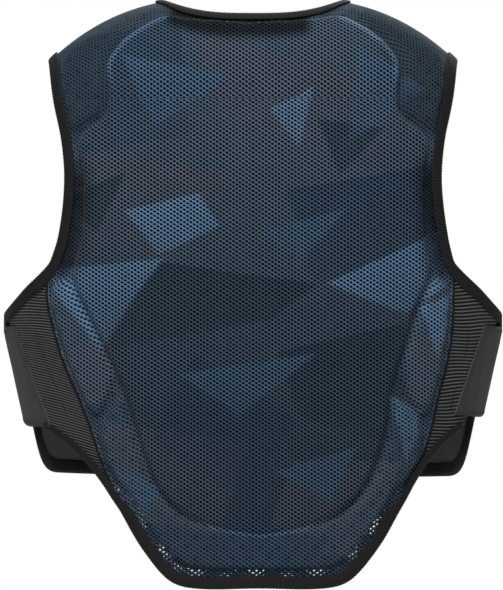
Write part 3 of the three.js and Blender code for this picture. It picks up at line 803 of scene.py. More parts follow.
TONES = {
    "slate": linear(88, 110, 131),
    "blue": linear(86, 120, 152),
    "pale": linear(115, 154, 192),
    "brown": linear(100, 110, 129),
    "navy": linear(65, 92, 120),
    "green": linear(61, 85, 102),
    "deep": linear(70, 90, 112),
}

# Pads' covers over the pads' tops and down in the dark, their insides, and the flange
PAD_TONES = (linear(40, 54, 68), linear(8, 22, 36))
PAD_INSIDE = linear(26, 28, 31)
FLANGE_TONE = linear(52, 66, 80)

# Splinter print: tone, strength, and corners as away, z.
# A shard is clean along its first side and fades from it
SHARDS = [
    ("brown", 0.95, [(-60, -20), (150, -70), (120, -170), (-20, -140)]),
    ("navy", 0.9, [(-200, -30), (-70, 0), (-60, -120), (-190, -140)]),
    ("brown", 0.9, [(-190, -130), (-20, -150), (-80, -240), (-200, -230)]),
    ("green", 0.95, [(-90, -240), (70, -262), (20, -300), (-150, -330)]),
    ("navy", 0.9, [(30, -170), (200, -140), (190, -250), (60, -260)]),
    ("green", 0.9, [(20, -330), (150, -300), (150, -430), (40, -400)]),
    ("brown", 0.85, [(-160, -400), (-10, -420), (-40, -520), (-130, -500)]),
    ("navy", 0.9, [(-60, -330), (40, -400), (-20, -480), (-110, -420)]),
    ("brown", 0.85, [(30, -440), (140, -440), (100, -540), (0, -530)]),
    ("brown", 0.9, [(-196, -330), (-140, -312), (-130, -372), (-180, -392)]),
    ("brown", 0.8, [(150, -322), (200, -300), (180, -380), (140, -390)]),
    ("green", 0.9, [(60, -100), (130, -110), (84, -160)]),
    ("green", 0.95, [(100, 30), (220, -20), (200, -130), (140, -90)]),
    ("green", 0.9, [(-190, -180), (-120, -150), (-150, -215)]),
    ("navy", 0.9, [(-30, -500), (70, -520), (40, -562), (-60, -562)]),
    ("blue", 1.0, [(-20, -60), (-130, -40), (-96, -112)]),
    ("blue", 0.9, [(100, -30), (170, -70), (90, -130)]),
    ("blue", 0.9, [(0, -212), (96, -186), (50, -240)]),
    ("blue", 1.0, [(-80, -352), (66, -330), (-20, -396)]),
    ("blue", 0.9, [(10, -452), (96, -424), (70, -486)]),
    ("blue", 0.8, [(-150, -440), (-96, -470), (-120, -520)]),
    ("pale", 1.0, [(72, -262), (206, -198), (200, -262), (150, -294)]),
    ("pale", 1.0, [(-52, -172), (-128, -190), (-92, -236), (-30, -206)]),
    ("pale", 0.95, [(-206, -250), (-84, -236), (-150, -332)]),
    ("pale", 0.7, [(14, -92), (62, -66), (46, -134)]),
    ("pale", 0.7, [(206, -268), (164, -286), (178, -346)]),
    ("pale", 0.6, [(126, -372), (162, -390), (140, -452)]),
]
# How much of a shard's strength fades, and over what length
SHARD_LOSS = 0.55
SHARD_FADE = 95.0
# Widths of a shard's clean side and of its soft ones
SHARD_EDGE = 1.6
SHARD_SOFT = 4.0
# Levels that the ground under the shards deepens between
GROUND_LEVELS = (200, 560)


def printed(away, z):
    """Colour of the print at places seen from behind."""
    place = np.stack([away, z], -1)
    colour = lerp(TONES["slate"], TONES["deep"], smoothstep(-z, *GROUND_LEVELS)[:, None])
    for tone, strength, corners in SHARDS:
        corners = np.array(corners, float)
        if np.cross(corners[1] - corners[0], corners[2] - corners[0]) < 0:
            corners = np.concatenate([corners[1::-1], corners[:1:-1]])
        sides = unit(np.roll(corners, -1, axis=0) - corners)
        into = [(place - c) @ np.array([-s[1], s[0]]) for c, s in zip(corners, sides)]
        clean = np.clip(into[0] / SHARD_EDGE, 0, 1)
        other = smoothstep(np.min(into[1:], axis=0), 0, SHARD_SOFT)
        fade = 1 - SHARD_LOSS * np.clip(into[0] / SHARD_FADE, 0, 1)
        colour = lerp(colour, TONES[tone], (strength * clean * other * fade)[:, None])
    return colour


def with_alpha(colour):
    return np.concatenate([colour, np.ones((len(colour), 1))], 1)


# Materials


class Look:
    """A material built from nodes."""

    def __init__(self, name, roughness, specular, sheen=0.0):
        self.material = bpy.data.materials.new(name)
        self.material.use_nodes = True
        self.tree = self.material.node_tree
        self.shader = self.tree.nodes["Principled BSDF"]
        self.shader.inputs["Roughness"].default_value = roughness
        self.shader.inputs["Specular IOR Level"].default_value = specular
        if sheen:
            self.shader.inputs["Sheen Weight"].default_value = sheen
            self.shader.inputs["Sheen Roughness"].default_value = 0.5

    def node(self, kind, settings=None, **inputs):
        node = self.tree.nodes.new(kind)
        for key, value in (settings or {}).items():
            setattr(node, key, value)
        for key, value in inputs.items():
            socket = node.inputs[int(key[1:]) if key[0] == "_" else key.replace("_", " ")]
            if isinstance(value, bpy.types.NodeSocket):
                self.tree.links.new(value, socket)
            else:
                socket.default_value = value
        return node

    def math(self, operation, *values):
        inputs = {f"_{i}": value for i, value in enumerate(values)}
        return self.node("ShaderNodeMath", {"operation": operation}, **inputs).outputs[0]

    def times(self, *values):
        return self.math("MULTIPLY", *values)

    def attribute(self, name, output):
        return self.node("ShaderNodeAttribute", {"attribute_name": name}).outputs[output]

    def axes(self, name):
        """The three values of a vector attribute, by axis."""
        return self.node("ShaderNodeSeparateXYZ", Vector=self.attribute(name, "Vector")).outputs

    def noise(self, scale, detail=2.0):
        place = self.node("ShaderNodeTexCoord").outputs["Object"]
        return self.node("ShaderNodeTexNoise", Vector=place, Scale=scale, Detail=detail).outputs["Fac"]

    def spread(self, value, low, high, start=0.0):
        """A value from a start to 1, spread between two others."""
        inputs = {"Value": value, "From_Min": start, "To_Min": low, "To_Max": high}
        return self.node("ShaderNodeMapRange", **inputs).outputs[0]

    def uneven(self, scale, low, high, detail=2.0):
        """Noise between two values."""
        return self.spread(self.noise(scale, detail), low, high)

    def feed(self, name, socket):
        self.tree.links.new(socket, self.shader.inputs[name])

    def colour(self, colour, shade):
        """A colour made lighter or darker by a shade."""
        mix = self.node("ShaderNodeVectorMath", {"operation": "SCALE"}, _0=colour, Scale=shade)
        self.feed("Base Color", mix.outputs[0])

    def roughen(self, scale, low, high):
        self.feed("Roughness", self.uneven(scale, low, high))

    def bump(self, height, distance, strength=1.0, below=None):
        inputs = {"Height": height, "Distance": distance, "Strength": strength}
        if below is not None:
            inputs["Normal"] = below
        normal = self.node("ShaderNodeBump", **inputs).outputs[0]
        self.feed("Normal", normal)
        return normal


def yarn(look, pitch_along, pitch_up):
    """Crossed threads of a plain weave, from the cloth's flat places in millimetres."""
    cloth = look.axes("cloth")
    waves = []
    for axis, pitch in (("X", pitch_along), ("Y", pitch_up)):
        waves.append(look.math("SINE", look.times(cloth[axis], 2 * math.pi / pitch)))
    return look.times(*waves)


def printed_mesh():
    look = Look("printed air mesh", 0.8, 0.25, 0.1)
    uneven = look.times(look.uneven(38, 0.86, 1.14, 3), look.uneven(900, 0.75, 1.25))
    # The strand attribute is painted highlight and shade on the strands; the print attribute carries the
    # back's painted shade and highlights
    look.colour(look.attribute("print", "Color"), look.times(uneven, look.attribute("strand", "Fac")))
    look.roughen(300, 0.7, 0.92)
    look.bump(look.noise(1600), 0.0003, 0.6)
    return look.material


def foam_cover():
    look = Look("pad cover", 0.95, 0.15)
    look.colour(look.attribute("tone", "Color"), look.uneven(700, 0.7, 1.3))
    look.roughen(120, 0.88, 1.0)
    look.bump(look.noise(1100), 0.0004, 0.7)
    return look.material


def dotted_mesh():
    """The front's mesh, with its holes as dark dots."""
    look = Look("front mesh", 0.82, 0.25, 0.1)
    cloth = look.axes("cloth")
    squares = []
    for shift in (0.0, 0.5):
        offsets = []
        for axis, pitch, half in (("X", 2 * HOLE_COLUMNS, HOLE_WIDE), ("Y", HOLE_ROWS, HOLE_HIGH)):
            cell = look.math("ADD", look.math("DIVIDE", cloth[axis], pitch), shift)
            offset = look.math("SUBTRACT", look.math("FRACT", cell), 0.5)
            offsets.append(look.math("POWER", look.times(offset, pitch / half), 2.0))
        squares.append(look.math("ADD", *offsets))
    away = look.math("SQRT", look.math("MINIMUM", *squares))
    smooth = {"interpolation_type": "SMOOTHSTEP"}
    strand = look.node("ShaderNodeMapRange", smooth, Value=away, From_Min=0.75, From_Max=1.25).outputs[0]
    shade = look.times(look.spread(strand, 0.1, 1.0), look.uneven(900, 0.75, 1.25))
    look.colour(look.attribute("print", "Color"), shade)
    look.roughen(300, 0.72, 0.94)
    look.bump(strand, 0.0006, 0.8)
    return look.material


def plain_cloth(name, screen, pitches, roughness, specular, depth, sheen=0.0, ribbed=False):
    """A woven cloth of one colour, with its threads and a slight unevenness; ribbed cloth also gets painted
    highlight on its ribs and painted shade between them.
    """
    look = Look(name, roughness, specular, sheen)
    weave = yarn(look, *pitches)
    wear_and_shade = look.uneven(45, 0.8, 1.2, 4)
    if ribbed:
        # Painted highlight on the ribs' crests and painted shade between them, made uneven, over the ribs'
        # real low rise
        wave = look.math("COSINE", look.times(look.axes("rib")["X"], 2 * math.pi))
        crest = look.math("POWER", look.spread(wave, 0.0, 1.0, -1.0), 3.0)
        relief = look.times(look.spread(crest, -0.96, 2.3), look.uneven(28, 0.7, 1.5))
        wear_and_shade = look.times(wear_and_shade, look.math("MAXIMUM", look.math("ADD", relief, 1.0), 0.03))
    look.colour(linear(*screen), look.times(wear_and_shade, look.spread(weave, 0.82, 1.18, -1.0)))
    look.roughen(160, roughness - 0.08, roughness + 0.08)
    below = look.bump(weave, depth, 0.6)
    look.bump(look.noise(1400), 0.0002, 0.4, below)
    return look.material


def thread(name, screen):
    look = Look(name, 0.6, 0.3)
    look.colour(linear(*screen), look.uneven(900, 0.8, 1.2))
    look.bump(look.noise(2500), 0.0002, 0.5)
    return look.material


def tape_cloth():
    look = Look("ribbed tape", 0.72, 0.3, 0.05)
    wear_and_shade = look.uneven(60, 0.8, 1.2, 4)
    look.colour(linear(23, 23, 24), look.times(wear_and_shade, look.attribute("shade", "Fac")))
    look.roughen(200, 0.64, 0.82)
    look.bump(look.noise(1800), 0.0003, 0.5)
    return look.material


MESH = printed_mesh()
FOAM = foam_cover()
FRONT_MESH = dotted_mesh()
# The lining is black cloth; its colour is painted lighter to stand in for the frontal light on its flap
LINING = plain_cloth("black lining", (97, 97, 98), (0.9, 0.9), 0.75, 0.3, 0.0002, 0.1)
STRETCH = plain_cloth("ribbed stretch cloth", (65, 65, 66), (0.9, 0.6), 0.78, 0.25, 0.0002, 0.1, True)
BELT_CLOTH = plain_cloth("brushed belt", (61, 61, 62), (0.8, 0.8), 0.85, 0.2, 0.0003, 0.2)
TAPE = tape_cloth()
PIPING = thread("seam piping", (16, 16, 17))
STITCH = thread("dark thread", (30, 30, 31))
SEAM_THREAD = thread("black thread", (20, 20, 21))

# Panels

back = Panel(False, Relief(BACK_PADS, BACK_BRIDGING))
front = Panel(True, Relief(FRONT_PADS, FRONT_BRIDGING))


def seen(panel, flat):
    """Where flat places appear from behind: away from the middle, and height."""
    points = panel.point(flat)
    return points[:, 0] - panel.lean(flat[:, 1]), points[:, 2]


def oval_net(corners, rings, middles, size):
    """Faces of a net with an oval hole of some size in each cell, and the flat places of its points."""
    oval = HOLE_FORM * [HOLE_WIDE, HOLE_HIGH]
    room = np.linalg.norm(corners[rings] - middles[:, None], axis=-1) / np.linalg.norm(oval, axis=-1)
    reach = np.minimum(np.reshape(size, (-1, 1)), HOLE_ROOM * room)
    holes = (middles[:, None] + oval * reach[..., None]).reshape(-1, 2)
    hole = len(corners) + np.arange(len(holes)).reshape(-1, 6)
    faces = np.stack(
        [rings, np.roll(rings, -1, axis=1), np.roll(hole, -1, axis=1), hole], -1
    ).reshape(-1, 4)
    return np.concatenate([corners, holes]), faces


def perforated(away, z):
    """1 in the small holes through the pads' covers, which stand in staggered rows."""
    across, up, radius = PERFORATIONS
    row = np.round(z / up)
    aside = away + across / 2 * (row % 2)
    near = np.hypot(aside - across * np.round(aside / across), z - up * row)
    return close_to(near, radius - PERFORATION_SOFT, radius + PERFORATION_SOFT)


def shoulder(panel, away, z):
    """1 on the shoulders, beside the spine plate."""
    beside = smoothstep(-panel.relief.zone(SPINE_PLATE, away, z), *SHOULDER_LINE)
    return beside * smoothstep(z, *SHOULDER_LEVELS)


def deepness(panel, away, z):
    """1 where the holes look down into the dark under the spine plate's mesh, less over the other pads; it
    sets the painted shade round the holes and the pads' darker tone.
    """
    plate, side_pad = [
        smoothstep(panel.relief.zone(pad, away, z), *DEPTH_SOFT) for pad in (SPINE_PLATE, SIDE_PAD)
    ]
    other = lerp(OTHER_PADS_DEEP, SIDE_PAD_DEEP, side_pad)
    return np.maximum.reduce([plate, other, perforated(away, z) * (1 - side_pad)])


def zone_shade(panel, away, z):
    """How light the mesh is: darker lower down by the print's tones and painted shade of light from above,
    painted shade on the shoulders, tinted over each pad, painted highlight on the plate's edges and painted
    shade in the crease under the lower pad.
    """
    plate = panel.relief.zone(SPINE_PLATE, away, z)
    lower = panel.relief.zone(LOWER_PAD, away, z)
    bevel = band(plate, *BEVEL_BAND) * smoothstep(z, *BEVEL_LEVELS) * (np.abs(away) > BEVEL_AWAY)
    foot = close_to(plate, *FOOT_LINE) * smoothstep(-z, *FOOT_LEVELS)
    crease = close_to(lower, *CREASE_LINE) * smoothstep(-z, *CREASE_LEVELS)
    # Darker lower down: partly the print's tones, partly painted shade of light from above
    shade = lerp(*PRINT_AND_SHADE_HEIGHT, smoothstep(-z, *PRINT_AND_SHADE_LEVELS))
    # Painted shade on the shoulders, which turn away from the light
    shade = shade * lerp(1, SHOULDER_SHADE, shoulder(panel, away, z))
    # Painted highlight along the plate's edges, and painted shade in the crease under the lower pad
    shade = shade * (1 + EDGE_HIGHLIGHT * (bevel + foot)) * (1 - CREASE_SHADE * crease)
    for pad, tint in PAD_TINTS:
        shade = shade * lerp(1, tint, smoothstep(panel.relief.zone(pad, away, z), *TINT_SOFT))
    return shade[:, None]


def edge_shade(panel, flat, away):
    """Painted shade where the mesh turns down to the armholes' tape, and how much darker it is in a band
    under the neck tape.
    """
    depth, run = panel.depth(flat), flat[:, 1]
    armhole = band(-run, *ARMHOLE_RUNS) * (np.abs(away) > NECK_HALF)
    neck_band = smoothstep(run, *NECK_BAND_RUNS) * close_to(away + NECK_SHIFT, *NECK_BAND_AWAY)
    # Painted shade on the mesh beside the armholes' tape, deepest next to it
    by_tape = lerp(1, lerp(ARMHOLE_SHADE, 1, smoothstep(depth, *ARMHOLE_REACH)), armhole)
    # A darker band in the mesh under the neck tape
    by_neck = lerp(1, lerp(NECK_BAND_DARKENING, 1, smoothstep(depth, *NECK_BAND_REACH)), neck_band)
    return (by_tape * by_neck)[:, None]


def back_mesh():
    """The air mesh: a net of six-sided cells with a hole in each."""
    corners, rings, middles = cells(back, HOLE_COLUMNS, HOLE_ROWS, NET_MARGIN, back.netted)
    fine = shoulder(back, *seen(back, middles))
    flat, faces = oval_net(corners, rings, middles, lerp(1, SHOULDER_HOLES, fine))
    out = back.height(flat)
    out[len(corners):] -= HOLE_DEPTH
    mesh = Mesh()
    away, z = seen(back, flat)
    # The print, with painted shade and painted highlight laid over it by zone_shade and edge_shade
    colour = printed(away, z) * zone_shade(back, away, z) * edge_shade(back, flat, away)
    rim = slice(len(corners), None)
    # Painted shade on the mesh round each hole, deeper where the holes look down into the dark
    colour[rim] *= lerp(*HOLE_SHADES, deepness(back, away[rim], z[rim]))[:, None]
    mesh.add(back.point(flat, out), faces, print=with_alpha(colour), OFBake=bake_place(flat))
    piece = mesh.make("back_air_mesh", "back_cover", [MESH])
    # Painted highlight on one slant of strands and painted shade on the other, face by face
    strand_highlights = piece.data.attributes.new("strand", "FLOAT", "FACE")
    strand_highlights.data.foreach_set("value", np.tile(STRAND_HIGHLIGHTS, len(rings)))
    area = loop_area(back.loop) * MM**2


def fans(corners, rings, middles):
    """Flat places of the points of filled cells, and the triangles round each middle."""
    middle = len(corners) + np.arange(len(rings))[:, None] + 0 * rings
    faces = np.stack([rings, np.roll(rings, -1, axis=1), middle], -1).reshape(-1, 3)
    return np.concatenate([corners, middles]), faces


def back_pad():
    """The moulded pads under the mesh, and the net flange that their cover is sewn into the hem by."""
    padded = back.distances(back.outline(PAST_SHOULDER, PAD_PAST_SEAM, PAD_PAST_TAPE))
    flat, faces = fans(*cells(back, *PAD_CELL, PAD_MARGIN, padded))
    away, z = seen(back, flat)
    tone = lerp(PAD_TONES[0], PAD_TONES[1], deepness(back, away, z)[:, None])
    outer = back.point(flat, back.height(flat) - PAD_UNDER_NET)
    inner = back.point(flat, 0 * away + PAD_OFF_BODY)
    both = (with_alpha(tone), with_alpha(0 * tone + PAD_INSIDE))
    mesh = Mesh()
    add_wall(mesh, outer, inner, faces, tone=both, OFBake=(bake_place(flat, 0), bake_place(flat, 1)))

    def along_hem(places):
        return (back.depth(places, back.netted) < FLANGE_WIDTH) & (places[:, 1] < FLANGE_TOP)

    columns, rows = HOLE_COLUMNS * FLANGE_PITCH, HOLE_ROWS * FLANGE_PITCH
    corners, rings, middles = cells(back, columns, rows, FLANGE_MARGIN, back.netted, along_hem)
    along, up = (middles * FLANGE_WAVES).T
    clusters = np.sin(along + FLANGE_SHIFT) + np.sin(up)
    flat, faces = oval_net(corners, rings, middles, FLANGE_HOLE * smoothstep(clusters, *FLANGE_OPENS))
    tone = with_alpha(np.tile(FLANGE_TONE, (len(flat), 1)))
    points = back.point(flat, 0 * flat[:, 0] + FLANGE_OFF_BODY)
    mesh.add(points, faces, tone=tone, OFBake=bake_place(flat, 0))
    piece = mesh.make("back_pads", "back_protector", [FOAM])


def front_cloth():
    """The padded front, printed mesh outside and plain lining inside."""
    flat, faces = fans(*cells(front, *FRONT_CELL, NET_MARGIN, front.netted))
    outer = front.point(flat, front.height(flat))
    inner = front.point(flat, 0 * flat[:, 0])
    away, z = seen(front, flat)
    colour = with_alpha(printed(away, FRONT_PRINT - z))
    place = cloth_place(flat)
    mesh = Mesh()
    bake = (bake_place(flat, 0), bake_place(flat, 1))
    add_wall(mesh, outer, inner, faces, (0, 1), print=(colour, colour), cloth=(place, place), OFBake=bake)
    piece = mesh.make("front_padded_panel", "front_panel", [FRONT_MESH, LINING])


# Side panels and belts

SIDE_GRID = (361, 44)
# Size that the weave is laid out over
SIDE_FLAT = (110.0, 260.0)
SIDE_RIB_RISE = 0.7
# Corners of a side panel's front edge: away, run
SIDE_TOP = (241.8, -293.0)
SIDE_FOOT = (206.0, -406.0)
# Turn where the panel stands at its full rise
SIDE_RISE_TURN = 1.1
# Rows of a side panel: the run where each one starts at the seam, and where it ends at the front edge
SIDE_ROWS = table("seam front", [
    (SEAM_FOOT, SIDE_TIP_RUN),
    (-472, -452),
    (-442, SIDE_FOOT[1]),
    (-400, -373),
    (-360, -347),
    (-320, -325),
    (-280, -308),
    (ARMHOLE_FOOT, SIDE_TOP[1]),
])
# Pitch of the stretch cloth's ribs, and how steeply they rise from the seam
LEFT_RIBS = (3.0, 0.36)
RIGHT_RIBS = (3.5, 0.05)
# Levels that the ribs' slant grows between, counted downwards
SLANT_LEVELS = (290, 350)
# How far the ribs wander, as a share of their pitch, and the waves of that across and up
RIB_WANDER = 0.25
RIB_WAVES = (0.11, 0.05)
# Share of the way from the seam where the ribs stand at their full height
RIB_START = 0.05
# Stitch line on a side panel: its share of the way from the seam, and the shares of the height it spans
PANEL_STITCHES = (0.42, 0.25, 0.66)
# How far off the panel's inside that line lies
PANEL_STITCH_LEVEL = CLOTH + 0.3
STITCH_LENGTH = 2.4
STITCH_PITCH = 3.6
STITCH_RADIUS = 0.42
STITCH_SIDES = 6
# Form of a stitch: shares of its length, and of its radius there
STITCH_FORM = ((0.0, 0.15), (0.25, 1.0), (0.75, 1.0), (1.0, 0.15))


def side_place(sign, down, reach):
    """Turn, run and stand-off of a side panel's points, down the seam and from it to the front edge."""
    seam_run = lerp(ARMHOLE_FOOT, SEAM_FOOT, down)
    seam = np.abs(back.side(sign, seam_run))
    front_run = read(SIDE_ROWS, "seam", "front", seam_run)
    upper = (SIDE_TOP[1] - front_run) / (SIDE_TOP[1] - SIDE_FOOT[1])
    past = np.clip((SIDE_FOOT[1] - front_run) / (SIDE_FOOT[1] - SIDE_TIP_RUN), 0, 1)
    tip = np.abs(back.side(sign, np.array([SEAM_FOOT])))[0] + SIDE_TIP_WIDTH
    front_away = lerp(lerp(SIDE_TOP[0], SIDE_FOOT[0], np.clip(upper, 0, 1)), tip, past)
    front_run = front_run + 4 * SIDE_FOOT_BULGE * past * (1 - past)
    run = lerp(seam_run, front_run, reach)
    turn = turn_at(lerp(seam, front_away, reach), run)
    start = turn_at(seam, run)
    rise = SIDE_RISE * smoothstep(turn, start, np.maximum(SIDE_RISE_TURN, start + 0.01))
    return sign * turn, run, rise


def side_point(sign, down, reach, out=0.0):
    turn, run, rise = side_place(sign, down, reach)
    return off_body(turn, run, rise + out)


def side_panel(sign, side):
    down, reach = grid_shares(*SIDE_GRID)
    inner = side_point(sign, down, reach)
    pitch, rise = LEFT_RIBS if sign < 0 else RIGHT_RIBS
    from_seam = np.abs(inner[:, 0]) - np.abs(back.side(sign, inner[:, 2]))
    wander = RIB_WANDER * np.sin(inner[:, [0, 2]] @ RIB_WAVES)
    slant = rise * smoothstep(-inner[:, 2], *SLANT_LEVELS) * from_seam
    ribs = (inner[:, 2] - slant) / pitch + wander
    out = CLOTH + SIDE_RIB_RISE / 2 * np.cos(2 * math.pi * ribs) * smoothstep(reach, 0, RIB_START)
    rib = np.stack([ribs, 0 * ribs, 0 * ribs], -1)
    outer = side_point(sign, down, reach, out)
    faces = grid_faces(*SIDE_GRID)
    if sign > 0:
        faces = faces[:, ::-1]
    place = np.stack([reach * SIDE_FLAT[0], down * SIDE_FLAT[1], 0 * down], -1)
    mesh = Mesh()
    add_wall(mesh, outer, inner, faces, cloth=(place, place), rib=(rib, rib))
    share, first, last = PANEL_STITCHES
    line = np.linspace(first, last, SIDE_POINTS)
    across = 0 * line + share
    stitch_row(mesh, lambda out: side_point(sign, line, across, 0 * line + out), PANEL_STITCH_LEVEL)
    piece = mesh.make(f"stretch_panel_{side}", f"side_panel_{side}", [STRETCH, SEAM_THREAD])


def stitches(mesh, points, normals, look):
    """A row of short stitches along a line, each a small spindle sunk halfway into the cloth."""
    along = travelled(points)
    starts = np.arange(STITCH_PITCH, along[-1] - STITCH_PITCH, STITCH_PITCH)
    shares, sizes = np.array(STITCH_FORM).T
    at = starts[:, None] + shares * STITCH_LENGTH
    spots = between(at, along, points)
    up = unit(between(at, along, normals))
    ahead = unit(spots[:, -1:] - spots[:, :1])
    aside = unit(np.cross(up, ahead))
    angles = np.linspace(0, 2 * math.pi, STITCH_SIDES, endpoint=False)[None, None, :, None]
    ring = aside[:, :, None] * np.cos(angles) + up[:, :, None] * np.sin(angles)
    verts = spots[:, :, None] + ring * (sizes * STITCH_RADIUS)[None, :, None, None]
    one = grid_faces(len(shares), STITCH_SIDES, False, True)
    firsts = len(shares) * STITCH_SIDES * np.arange(len(starts))
    mesh.add(verts.reshape(-1, 3), (one[None] + firsts[:, None, None]).reshape(-1, 4), look)


def stitch_row(mesh, place, out):
    """Stitches along the line that a function gives for a distance off the body."""
    points = place(out)
    stitches(mesh, points, place(out + 1) - points, 1)


def belt_point(sign, degrees, share, out):
    turn = sign * np.radians(degrees)
    last = BELT["turn"][-1]
    lift = BELT_RIGHT_LIFT * (sign > 0) * (last - degrees) / (last - BELT_START[1])
    run = lerp(read(BELT, "turn", "top", degrees), read(BELT, "turn", "foot", degrees) + lift, share)
    return off_body(turn, run, out)


def belt(sign, side):
    along, down = grid_shares(*BELT_GRID)
    cloth_long, cloth_high = BELT_FLAT
    start = BELT_START if sign < 0 else BELT_RIGHT_START
    degrees = lerp(lerp(*start, down), BELT["turn"][-1], np.sin(QUARTER * along))
    start_long, end_long = BELT_ENDS
    from_sides = np.minimum(down, 1 - down) * cloth_high
    from_ends = np.minimum(along * start_long, (1 - along) * end_long)
    border = np.minimum(from_sides, from_ends)
    soft = BELT_SWELL * np.sqrt(np.clip(1 - (1 - np.clip(border / BELT_ROUND, 0, 1)) ** 2, 0, 1))
    ripple = BELT_RIPPLE * np.sin(BELT_WAVES[0] * degrees) * np.sin(BELT_WAVES[1] * down)
    middle = BELT_STAND + BELT_HALF
    flush = BELT_SINK * (1 - smoothstep(along, 0, BELT_SINK_SHARE))
    outer = belt_point(sign, degrees, down, middle + BELT_RIM + soft + ripple - flush)
    inner = belt_point(sign, degrees, down, middle - BELT_RIM - soft)
    faces = grid_faces(*BELT_GRID)
    if sign < 0:
        faces = faces[:, ::-1]
    place = np.stack([along * cloth_long, down * cloth_high, 0 * along], -1)
    mesh = Mesh()
    add_wall(mesh, outer, inner, faces, cloth=(place, place))
    for share in BELT_STITCHES:
        first, last = lerp(*start, share) + 1, BELT["turn"][-1] - 4
        line = np.linspace(first, last, BELT_STITCH_POINTS)
        stitch_row(mesh, lambda out: belt_point(sign, line, share, 0 * line + out), middle + BELT_HALF)
    piece = mesh.make(f"waist_belt_{side}", f"belt_{side}", [BELT_CLOTH, STITCH])


# Edge tapes

# Section of the folded tape: into the cloth from its edge, and off the body
TAPE_SECTION = np.array([
    (10.5, -0.9), (10.4, -1.8), (9.2, -2.1), (5.0, -2.2), (0.6, -2.1), (-1.3, -1.3), (-2.1, 0.2),
    (-2.2, 1.5), (-2.1, 2.8), (-1.3, 4.3), (0.6, 5.1), (5.0, 5.2), (9.2, 5.1), (10.4, 4.8), (10.5, 3.9),
])
TAPE_INSIDE = np.array([(8.0, 3.6), (0.6, 3.5), (-0.6, 1.5), (0.6, -0.5), (8.0, -0.6)])
TAPE_MIDDLE = 1.5
# Stitches on the tape's two leaves: how far off the body, and which way they face
TAPE_STITCHES = ((5.15, 1), (-2.15, -1))
# Painted highlight on the tape's ribs and painted shade between them: its brightness on each
RIB_SHADES = (2.0, 0.05)
ARMHOLE_TAPE_END = (5.0, 14.0)
# Share of its width that a tape keeps where it narrows, and how far from the middle the neck's does
NARROW_TAPE = 0.62
NECK_NARROWS = (62.0, 86.0)
# Points along a side panel's top or foot, and along the front's sides
FOOT_POINTS = 40
FRONT_SIDE_POINTS = 60
# Span of the hem's tape up each side panel, as shares of the height
SIDE_FOOT_SPAN = (0.815, 0.985)
STITCH_LINE = 8.6


class Edge:
    """A cloth edge that carries tape: its points, the cloth's normals, and the way into the cloth."""

    def __init__(self, points, normals, inward):
        self.points, self.normals, self.inward = points, normals, inward

    @classmethod
    def of_panel(cls, panel, flat):
        flat = np.asarray(flat)
        turn = panel.turn(flat)
        normals = body_normal(turn, flat[:, 1])
        points = panel.point(flat)
        inside = panel.snapped(flat, np.full(len(flat), True), 2)
        inward = panel.point(flat + 2 * panel.inward(inside)) - points
        return cls(points, normals, unit(inward))

    @classmethod
    def of_side(cls, sign, down, reach, down_in, reach_in):
        points = side_point(sign, down, reach)
        turn, run, _ = side_place(sign, down, reach)
        inside = side_point(sign, down_in, reach_in)
        return cls(points, body_normal(turn, run), unit(inside - points))

    def parts(self):
        return self.points, self.normals, self.inward

    def __add__(self, other):
        return Edge(*[np.concatenate(pair) for pair in zip(self.parts(), other.parts())])

    def drawn_out(self, length, drop):
        """The same edge with a straight piece before its start, and a piece that hangs down from that."""
        way = unit(self.points[0] - self.points[2])
        corner = self.points[:1] + way * length
        ends = np.concatenate([corner - [0, 0, drop], corner])
        return Edge(ends, self.normals[[0, 0]], self.inward[[0, 0]]) + self

    def back_to_front(self):
        return Edge(*[part[::-1] for part in self.parts()])

    def spaced(self, step, soften, closed):
        """The same edge at even steps, with its corners softened over a length."""
        points = np.concatenate([self.points, self.points[:1]]) if closed else self.points
        along = travelled(points)
        count = 2 * round(along[-1] / step / 2)
        at = np.linspace(0, along[-1], count + 1)[: count if closed else count + 1]
        spread = max(1, round(soften / step))
        window = np.hanning(2 * spread + 3)[1:-1]
        window /= window.sum()

        def even(values, slide):
            values = np.concatenate([values, values[:1]]) if closed else values
            columns = between(at, along, values)
            if closed:
                padded = np.concatenate([columns[-spread:], columns, columns[:spread]])
            else:
                first, last = columns[:1], columns[-1:]
                before = 2 * first - columns[spread:0:-1] if slide else np.repeat(first, spread, 0)
                after = 2 * last - columns[-2:-spread - 2:-1] if slide else np.repeat(last, spread, 0)
                padded = np.concatenate([before, columns, after])
            return np.stack([np.convolve(padded[:, k], window, "valid") for k in range(3)], -1)

        points = even(self.points, True)
        normals = unit(even(self.normals, False))
        inward = even(self.inward, False)
        ahead = np.roll(points, -1, axis=0) - np.roll(points, 1, axis=0)
        if not closed:
            ahead[0], ahead[-1] = points[1] - points[0], points[-1] - points[-2]
        ahead = unit(ahead)
        inward = unit(inward - ahead * (inward * ahead).sum(1, keepdims=True))
        square = unit(np.cross(ahead, inward))
        square *= np.sign((square * normals).sum(1, keepdims=True))
        return Edge(points, square, inward)

    def at(self, into, off):
        return self.points + self.inward * into + self.normals * off


